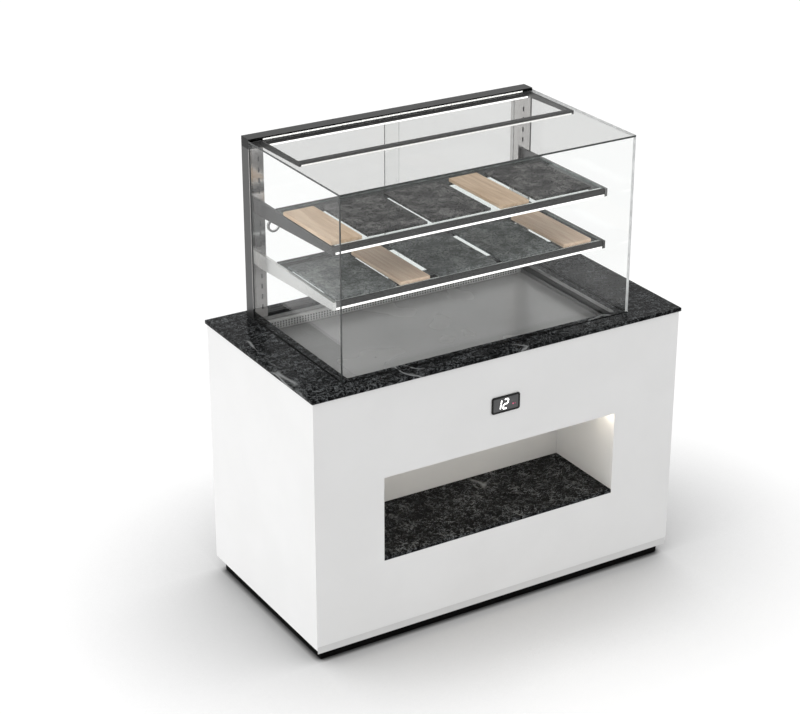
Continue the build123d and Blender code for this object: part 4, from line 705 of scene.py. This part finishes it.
def add_slab(work, low, high):
    """One riven board inside its box: a split top face and chipped sides."""
    size = high - low
    columns = max(2, round(size.x / SLATE_CELL))
    rows = max(2, round(size.y / SLATE_CELL))
    middle = (low + high) / 2

    def level(i, j, k):
        """Place of a grid point, moved in from the sides by chips and down from the top by splits."""
        point = Vector((low.x + size.x * i / columns,
                        low.y + size.y * j / rows,
                        low.z + size.z * k / SLATE_ROWS))
        height = CHIP_AT_FOOT + (1 - CHIP_AT_FOOT) * k / SLATE_ROWS
        chip = CHIP_DEPTH * uneven(point / CHIP_PITCH, 2.0, 3) * height
        chip = min(max(chip, 0.0), CHIP_DEPTH)
        for axis, at_start, at_end in ((0, i == 0, i == columns), (1, j == 0, j == rows)):
            if at_start:
                point[axis] += chip
            if at_end:
                point[axis] -= chip
        if k == SLATE_ROWS:
            split = uneven(Vector((point.x, point.y, middle.z)) / SPLIT_PITCH, 2.2, 4)
            point.z -= SPLIT_DEPTH * min(max(split, 0.0), 1.0)
        return point

    grid = {}

    def vert(i, j, k):
        if (i, j, k) not in grid:
            grid[i, j, k] = work.verts.new(level(i, j, k))
        return grid[i, j, k]

    def quad(*corners):
        work.faces.new([vert(*corner) for corner in corners])

    top = SLATE_ROWS
    for i in range(columns):
        for j in range(rows):
            quad((i, j, top), (i + 1, j, top), (i + 1, j + 1, top), (i, j + 1, top))
    for k in range(SLATE_ROWS):
        for i in range(columns):
            quad((i, 0, k), (i + 1, 0, k), (i + 1, 0, k + 1), (i, 0, k + 1))
            quad((i + 1, rows, k), (i, rows, k), (i, rows, k + 1), (i + 1, rows, k + 1))
        for j in range(rows):
            quad((0, j + 1, k), (0, j, k), (0, j, k + 1), (0, j + 1, k + 1))
            quad((columns, j, k), (columns, j + 1, k), (columns, j + 1, k + 1), (columns, j, k + 1))
    rim = [vert(0, j, 0) for j in range(rows)]
    rim += [vert(i, rows, 0) for i in range(columns)]
    rim += [vert(columns, j, 0) for j in range(rows, 0, -1)]
    rim += [vert(i, 0, 0) for i in range(columns, 0, -1)]
    work.faces.new(rim)


def slate_boards():
    """The boards of both shelves; those on the lower one are painted paler, as the lamp light that falls on
    them.
    """
    boxes = solids_of("slate_boards")
    split = (boxes[0][0].z + boxes[-1][1].z) / 2
    work = bmesh.new()
    for low, high in boxes:
        first = len(work.faces)
        add_slab(work, low, high)
        work.faces.ensure_lookup_table()
        for face in work.faces[first:]:
            face.material_index = 1 if low.z < split else 0
    made = new_object("slate_boards_finished", work, [FINISHES["slate"], PAINTED_LIT_SLATE])
    return placed(made, body_of("slate_boards"), "slate", "slate_boards")


slate_boards()


# Wooden boards: those on the lower shelf are painted paler, as the lamp light that falls on them

def wooden_boards():
    low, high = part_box("wooden_boards")
    split = (low.z + high.z) / 2

    def paint(face):
        return 0 if face.calc_center_median().z > split else 1

    return dressed("wooden_boards", [FINISHES["beech"], PAINTED_LIT_BEECH], paint)


wooden_boards()


# Shelf brackets: the lower left one takes bright steel and the upper right one a pale finish, both painted
# highlights; the others are dark

def shelf_brackets():
    low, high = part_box("shelf_brackets")
    middle = (low + high) / 2

    def paint(face):
        place = face.calc_center_median()
        upper = place.z > middle.z
        right = place.x > middle.x
        if upper == right:
            return 2 if upper else 1
        return 0

    finishes = [FINISHES["dark_aluminium"], FINISHES["stainless"], PAINTED_LIT_ALUMINIUM]
    return dressed("shelf_brackets", finishes, paint)


shelf_brackets()


# Slotted channels: the walls of the slots, which are in line with the brackets, are painted black as shade

SLOT_REACH = 3.2 * MM


def slotted_channels():
    lines = [(low.x + high.x) / 2 for low, high in solids_of("shelf_brackets")]

    def paint(face):
        x = face.calc_center_median().x
        near = min(abs(x - line) for line in lines) < SLOT_REACH
        return 1 if near and abs(face.normal.y) < SQUARE else 0

    return dressed("slotted_channels", [FINISHES["polished_steel"], MATT_BLACK], paint)


slotted_channels()


# Arms of the light bar: the inner face of the right one is painted paler, a painted highlight

def light_arms():
    low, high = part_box("light_arms")

    def paint(face):
        right = face.calc_center_median().x > (low.x + high.x) / 2
        return 1 if right and face.normal.x < -SQUARE else 0

    return dressed("light_arms", [ARM_ALUMINIUM, PAINTED_LIT_ALUMINIUM], paint)


light_arms()


# Niche: the back is painted a little greyer than the sides, as shade

def niche_liner():
    def paint(face):
        return 1 if face.normal.y < -SQUARE else 0

    return dressed("niche_liner", [FINISHES["white_lacquer"], NICHE_SHADE_LACQUER], paint)


niche_liner()


# Front rails: a white strip lies under the glass, with a painted glow for the light of the lamp below it

def front_rail(node):
    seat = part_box(node.replace("front_rail", "shelf_glass"))[0].z

    def paint(face):
        on_seat = abs(face.calc_center_median().z - seat) < EDGE_RADIUS
        return 1 if on_seat and face.normal.z > SQUARE else 0

    return dressed(node, [FINISHES["dark_aluminium"], SEAT_PAINTED_GLOW], paint)


front_rail("upper_front_rail")
front_rail("lower_front_rail")


# Deck: a satin plate between two edge strips, which are painted darker as shade

STRIP_REACH = 4.0 * MM


def deck_plate():
    low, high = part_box("deck_plate")

    def paint(face):
        x = face.calc_center_median().x
        return 1 if min(x - low.x, high.x - x) < STRIP_REACH else 0

    return dressed("deck_plate", [FINISHES["deck_steel"], STRIP_SHADE_STEEL], paint)


deck_plate()


# Air grille: pale steel round holes, whose walls are its small faces, painted black as shade

HOLE_WALL_AREA = 8.0 * MM * MM


def air_grille():
    def paint(face):
        return 1 if abs(face.normal.y) < LEANING and face.calc_area() < HOLE_WALL_AREA else 0

    return dressed("air_grille", [GRILLE_STEEL, MATT_BLACK], paint)


air_grille()


# Worktop: the cut edges at the right and at the rear of the opening take a pale metal finish, a painted
# highlight

def worktop():
    def paint(face):
        middle = face.calc_center_median()
        right = middle.x > 0 and face.normal.x < -SQUARE
        rear = middle.y > 0 and face.normal.y < -SQUARE
        return 1 if right or rear else 0

    return dressed("worktop", [FINISHES["black_stone"], PAINTED_HIGHLIGHT_EDGE], paint)


worktop()


# Feet: a steel stem on a rubber pad

PAD_HEIGHT = 6.0 * MM


def levelling_feet():
    def paint(face):
        return 1 if face.calc_center_median().z < PAD_HEIGHT else 0

    return dressed("levelling_feet", [FINISHES["galvanised_steel"], RUBBER], paint)


levelling_feet()


# Controller: the plain number on its window

DIGIT_HEIGHT = 36.0 * MM
DIGIT_WIDTH = 20.0 * MM
DIGIT_STROKE = 4.8 * MM
DIGIT_GAP = 0.15 * MM
DIGIT_SLANT = 0.18
DIGIT_DEPTH = 0.2 * MM
ONE_SHIFT = -26.0 * MM
TWO_SHIFT = -1.0 * MM
DOT_SHIFTS = (26.5 * MM, 34.0 * MM)
DOT_DROP = 5.5 * MM
DOT_RADIUS = 2.6 * MM
DOT_SIDES = 24


def add_plate(work, outline, y0, y1):
    """A flat plate with the outline's points, given as x and z, between two depths."""
    front = [work.verts.new((x, y0, z)) for x, z in outline]
    back = [work.verts.new((x, y1, z)) for x, z in outline]
    work.faces.new(front)
    work.faces.new(back[::-1])
    for i in range(len(outline)):
        j = (i + 1) % len(outline)
        work.faces.new([front[j], front[i], back[i], back[j]])


def bar_outline(start, end):
    """A bar with pointed ends from one corner of the figure to another."""
    start = Vector(start)
    end = Vector(end)
    run = (end - start).normalized()
    side = Vector((-run.y, run.x)) * DIGIT_STROKE / 2
    tip = run * (DIGIT_GAP + DIGIT_STROKE / 2)
    nose = run * DIGIT_GAP
    lower = [start + nose, start + tip - side, end - tip - side]
    upper = [end - nose, end - tip + side, start + tip + side]
    return lower + upper


def figure_bars(number):
    """The bars of a seven-bar figure, from corner to corner."""
    w = (DIGIT_WIDTH - DIGIT_STROKE) / 2
    h = (DIGIT_HEIGHT - DIGIT_STROKE) / 2
    top = ((-w, h), (w, h))
    middle = ((-w, 0), (w, 0))
    bottom = ((-w, -h), (w, -h))
    upper_right = ((w, 0), (w, h))
    lower_right = ((w, -h), (w, 0))
    lower_left = ((-w, -h), (-w, 0))
    bars = {1: (upper_right, lower_right), 2: (top, upper_right, middle, lower_left, bottom)}
    return bars[number]


def controller_figures():
    low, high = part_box("controller_window")
    middle = (low + high) / 2
    y0 = low.y - DIGIT_DEPTH
    y1 = low.y
    white = bmesh.new()
    for number, shift in ((1, ONE_SHIFT), (2, TWO_SHIFT)):
        for start, end in figure_bars(number):
            outline = bar_outline(start, end)
            slanted = [(middle.x + shift + p.x + DIGIT_SLANT * p.y, middle.z + p.y) for p in outline]
            add_plate(white, slanted, y0, y1)
    bmesh.ops.recalc_face_normals(white, faces=white.faces)
    placed(new_object("controller_digits", white, [DIGIT_WHITE]), "counter", "display_window")

    turns = [2 * math.pi * i / DOT_SIDES for i in range(DOT_SIDES)]
    ring = [(DOT_RADIUS * math.cos(turn), DOT_RADIUS * math.sin(turn)) for turn in turns]
    for name, shift, finish in zip(("lit", "dim"), DOT_SHIFTS, (DOT_RED, DOT_DIM)):
        dot = bmesh.new()
        add_plate(dot, [(middle.x + shift + x, middle.z - DOT_DROP + z) for x, z in ring], y0, y1)
        bmesh.ops.recalc_face_normals(dot, faces=dot.faces)
        placed(new_object("controller_dot_" + name, dot, [finish]), "counter", "display_window")


controller_figures()


# Screws: button heads with a hexagon socket, each on the face it holds

SCREW_SIDES = 20
SOCKET_SIDES = 6
PANEL_SCREW = {"Head Radius": 5.0 * MM, "Head Height": 2.6 * MM, "Socket Radius": 1.75 * MM,
               "Socket Depth": 1.5 * MM, "Finish": SCREW_STEEL}
SMALL_SCREW = {"Head Radius": 3.4 * MM, "Head Height": 1.9 * MM, "Socket Radius": 1.2 * MM,
               "Socket Depth": 1.1 * MM, "Finish": SCREW_STEEL}
CROWN_SHARE = 0.66
PANEL_SCREW_INSET = 16.0 * MM
PANEL_SCREW_PITCH = 210.0 * MM
BEAM_SCREW_INSET = 14.0 * MM
FAN_SCREW_INSET = 8.0 * MM
TO_FRONT = (0.0, -1.0, 0.0)
TO_REAR = (0.0, 1.0, 0.0)


def screw_tree():
    tree = Builder("screws", ("Head Radius", "Head Height", "Socket Radius", "Socket Depth"))
    radius = tree.given("Head Radius")
    height = tree.given("Head Height")
    depth = tree.given("Socket Depth")
    head = tree.node("GeometryNodeMeshCone", None,
                     {"Vertices": SCREW_SIDES, "Side Segments": 1, "Fill Segments": 1,
                      "Radius Top": CROWN_SHARE * radius, "Radius Bottom": radius, "Depth": height})
    punch = tree.node("GeometryNodeMeshCylinder", None,
                      {"Vertices": SOCKET_SIDES, "Radius": tree.given("Socket Radius"),
                       "Depth": 2 * depth})
    lift = tree.node("ShaderNodeCombineXYZ", None, {"Z": height})
    raised = tree.node("GeometryNodeTransform", None, {"Geometry": punch, "Translation": lift})
    cut = tree.node("GeometryNodeMeshBoolean", {"operation": "DIFFERENCE"},
                    {"Mesh 1": head, "Mesh 2": raised})
    facing = tree.node("GeometryNodeInputNamedAttribute", {"data_type": "FLOAT_VECTOR"}, {"Name": "facing"})
    turn = tree.node("FunctionNodeAlignRotationToVector", {"axis": "Z"}, {"Vector": facing})
    return tree.ended(tree.node("GeometryNodeInstanceOnPoints", None,
                                {"Points": tree.carrier, "Instance": cut, "Rotation": turn}))


def spread(start, end, pitch):
    """Places from start to end, evenly apart and no further than the pitch."""
    steps = max(1, math.ceil((end - start) / pitch))
    return [start + (end - start) * i / steps for i in range(steps + 1)]


def rim_seats(node):
    """Seats along the rim of a panel's outer face at the rear."""
    low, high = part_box(node)
    across = spread(low.x + PANEL_SCREW_INSET, high.x - PANEL_SCREW_INSET, PANEL_SCREW_PITCH)
    up = spread(low.z + PANEL_SCREW_INSET, high.z - PANEL_SCREW_INSET, PANEL_SCREW_PITCH)
    rim = [(x, z) for x in across for z in (up[0], up[-1])]
    rim += [(x, z) for x in (across[0], across[-1]) for z in up[1:-1]]
    return [(Vector((x, high.y, z)), TO_REAR) for x, z in rim]


def beam_seats():
    low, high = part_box("rear_beam")
    z = (low.z + high.z) / 2
    return [(Vector((x, high.y, z)), TO_REAR) for x in (low.x + BEAM_SCREW_INSET, high.x - BEAM_SCREW_INSET)]


def fan_seats(node):
    """Seats in the corners of the front of a fan's frame."""
    low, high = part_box(node)
    return [(Vector((x, low.y, z)), TO_FRONT)
            for x in (low.x + FAN_SCREW_INSET, high.x - FAN_SCREW_INSET)
            for z in (low.z + FAN_SCREW_INSET, high.z - FAN_SCREW_INSET)]


screws = screw_tree()
panel_seats = rim_seats("rear_panel") + rim_seats("rear_vent_panel") + beam_seats()
placed(screws.grown("panel_screws", seats_mesh(panel_seats), PANEL_SCREW), "counter", "stainless")
fan_corner_seats = fan_seats("condenser_fan_frame") + fan_seats("evaporator_fan_frame")
placed(screws.grown("fan_screws", seats_mesh(fan_corner_seats), SMALL_SCREW), "counter", "stainless")


# Beads of silicone along the feet of the panes

BEAD_SIDES = 10
SILICONE_BEAD = {"Radius": 0.7 * MM, "Finish": SILICONE}


def bead_tree():
    tree = Builder("beads", ("Radius",))
    path = tree.node("GeometryNodeMeshToCurve", None, {"Mesh": tree.carrier})
    round_profile = tree.node("GeometryNodeCurvePrimitiveCircle", {"mode": "RADIUS"},
                              {"Resolution": BEAD_SIDES, "Radius": tree.given("Radius")})
    return tree.ended(tree.node("GeometryNodeCurveToMesh", None,
                                {"Curve": path, "Profile Curve": round_profile, "Fill Caps": True}))


def pane_feet():
    """Lines along both sides of the feet of the three upright panes."""
    front_low, front_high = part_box("front_glass")
    z = front_low.z
    lines = [[(front_low.x, front_low.y, z), (front_high.x, front_low.y, z)],
             [(front_low.x, front_high.y, z), (front_high.x, front_high.y, z)]]
    for node in ("left_glass", "right_glass"):
        low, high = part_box(node)
        lines += [[(x, low.y, z), (x, high.y, z)] for x in (low.x, high.x)]
    return [(line, False) for line in lines]


beads = bead_tree()
placed(beads.grown("silicone_beads", paths_mesh(pane_feet()), SILICONE_BEAD), "counter", "clear_glass")


# Everything else keeps its CAD shape with softened edges

dressed("niche_lamp", [WARM_DIFFUSER])
dressed("rear_beam_lamps", [BEAM_DIFFUSER])
dressed("shelf_lamps", [SHELF_DIFFUSER])
# The base rails take the darker lacquer: painted shade
dressed("base_rails", [RAIL_SHADE_LACQUER])
dressed("left_door_pull", [PULL_STEEL])
dressed("right_door_pull", [PULL_STEEL])
dressed("uprights", [POST_ALUMINIUM])
dressed("rear_beam", [BEAM_ALUMINIUM])
dressed("shelf_rear_rails", [MATT_BLACK])
# The tub takes the darkened steel: painted shade
dressed("well_tub", [TUB_SHADE_STEEL])
dressed("door_track_bottom", [BLACK_TRACK])
for node, slot in SLOT_OF.items():
    if not frame["nodes"][node].hide_render:
        dressed(node, [FINISHES[slot]])


# Stage, light and camera

def studio_floor():
    """A white floor whose glow, which only shows directly, fades towards what stands on it, and whose
    colour, as seen directly, darkens at their feet: both a painted shadow.
    """
    f = Finish("studio_floor")
    seen = f.seen_directly()
    contact = f.node("ShaderNodeAmbientOcclusion", None, {"Distance": CONTACT_REACH}, out="AO")
    contact = contact ** SHADE_FALL
    shaded = f.mixed(contact, grey(0.0), grey(FLOOR_SEEN_COLOUR))
    tone = f.mixed(seen, grey(FLOOR_COLOUR), shaded)
    matt = f.node("ShaderNodeBsdfDiffuse", None, {"Color": tone})
    open_sky = f.node("ShaderNodeAmbientOcclusion", None, {"Distance": SHADE_REACH}, out="AO")
    strength = FLOOR_GLOW * seen * contact * open_sky ** SHADE_FALL
    glow = f.node("ShaderNodeEmission", None, {"Strength": strength})
    f.shown(f.node("ShaderNodeAddShader", None, {0: matt, 1: glow}))
    work = bmesh.new()
    bmesh.ops.create_grid(work, x_segments=1, y_segments=1, size=FLOOR_SIZE / 2)
    floor = new_object("studio_floor", work, [f.material])


def studio_sky():
    world = bpy.data.worlds.new("studio_sky")
    world.use_nodes = True
    g = Graph(world.node_tree)
    level = SKY_LEVEL + (1 - SKY_LEVEL) * g.seen_directly()
    sky = g.node("ShaderNodeBackground", None, {"Color": grey(1.0), "Strength": level})
    g.node("ShaderNodeOutputWorld", None, {"Surface": sky})
    bpy.context.scene.world = world


def studio_lamp():
    data = bpy.data.lights.new("studio_lamp", "SUN")
    data.energy = LAMP_STRENGTH
    data.angle = LAMP_SPREAD
    lamp = bpy.data.objects.new("studio_lamp", data)
    lamp.rotation_euler = LAMP_DIRECTION.to_track_quat("Z", "Y").to_euler()
    bpy.context.scene.collection.objects.link(lamp)


def studio_camera():
    data = bpy.data.cameras.new("studio_camera")
    data.lens = CAMERA_LENS
    data.sensor_width = CAMERA_SENSOR
    camera = bpy.data.objects.new("studio_camera", data)
    camera.location = CAMERA_PLACE
    camera.rotation_euler = (CAMERA_TARGET - CAMERA_PLACE).to_track_quat("-Z", "Y").to_euler()
    bpy.context.scene.collection.objects.link(camera)
    bpy.context.scene.camera = camera


studio_floor()
studio_sky()
studio_lamp()
studio_camera()
bpy.context.scene.view_settings.view_transform = "Standard"
bpy.context.scene.cycles.transparent_max_bounces = GLASS_LAYERS
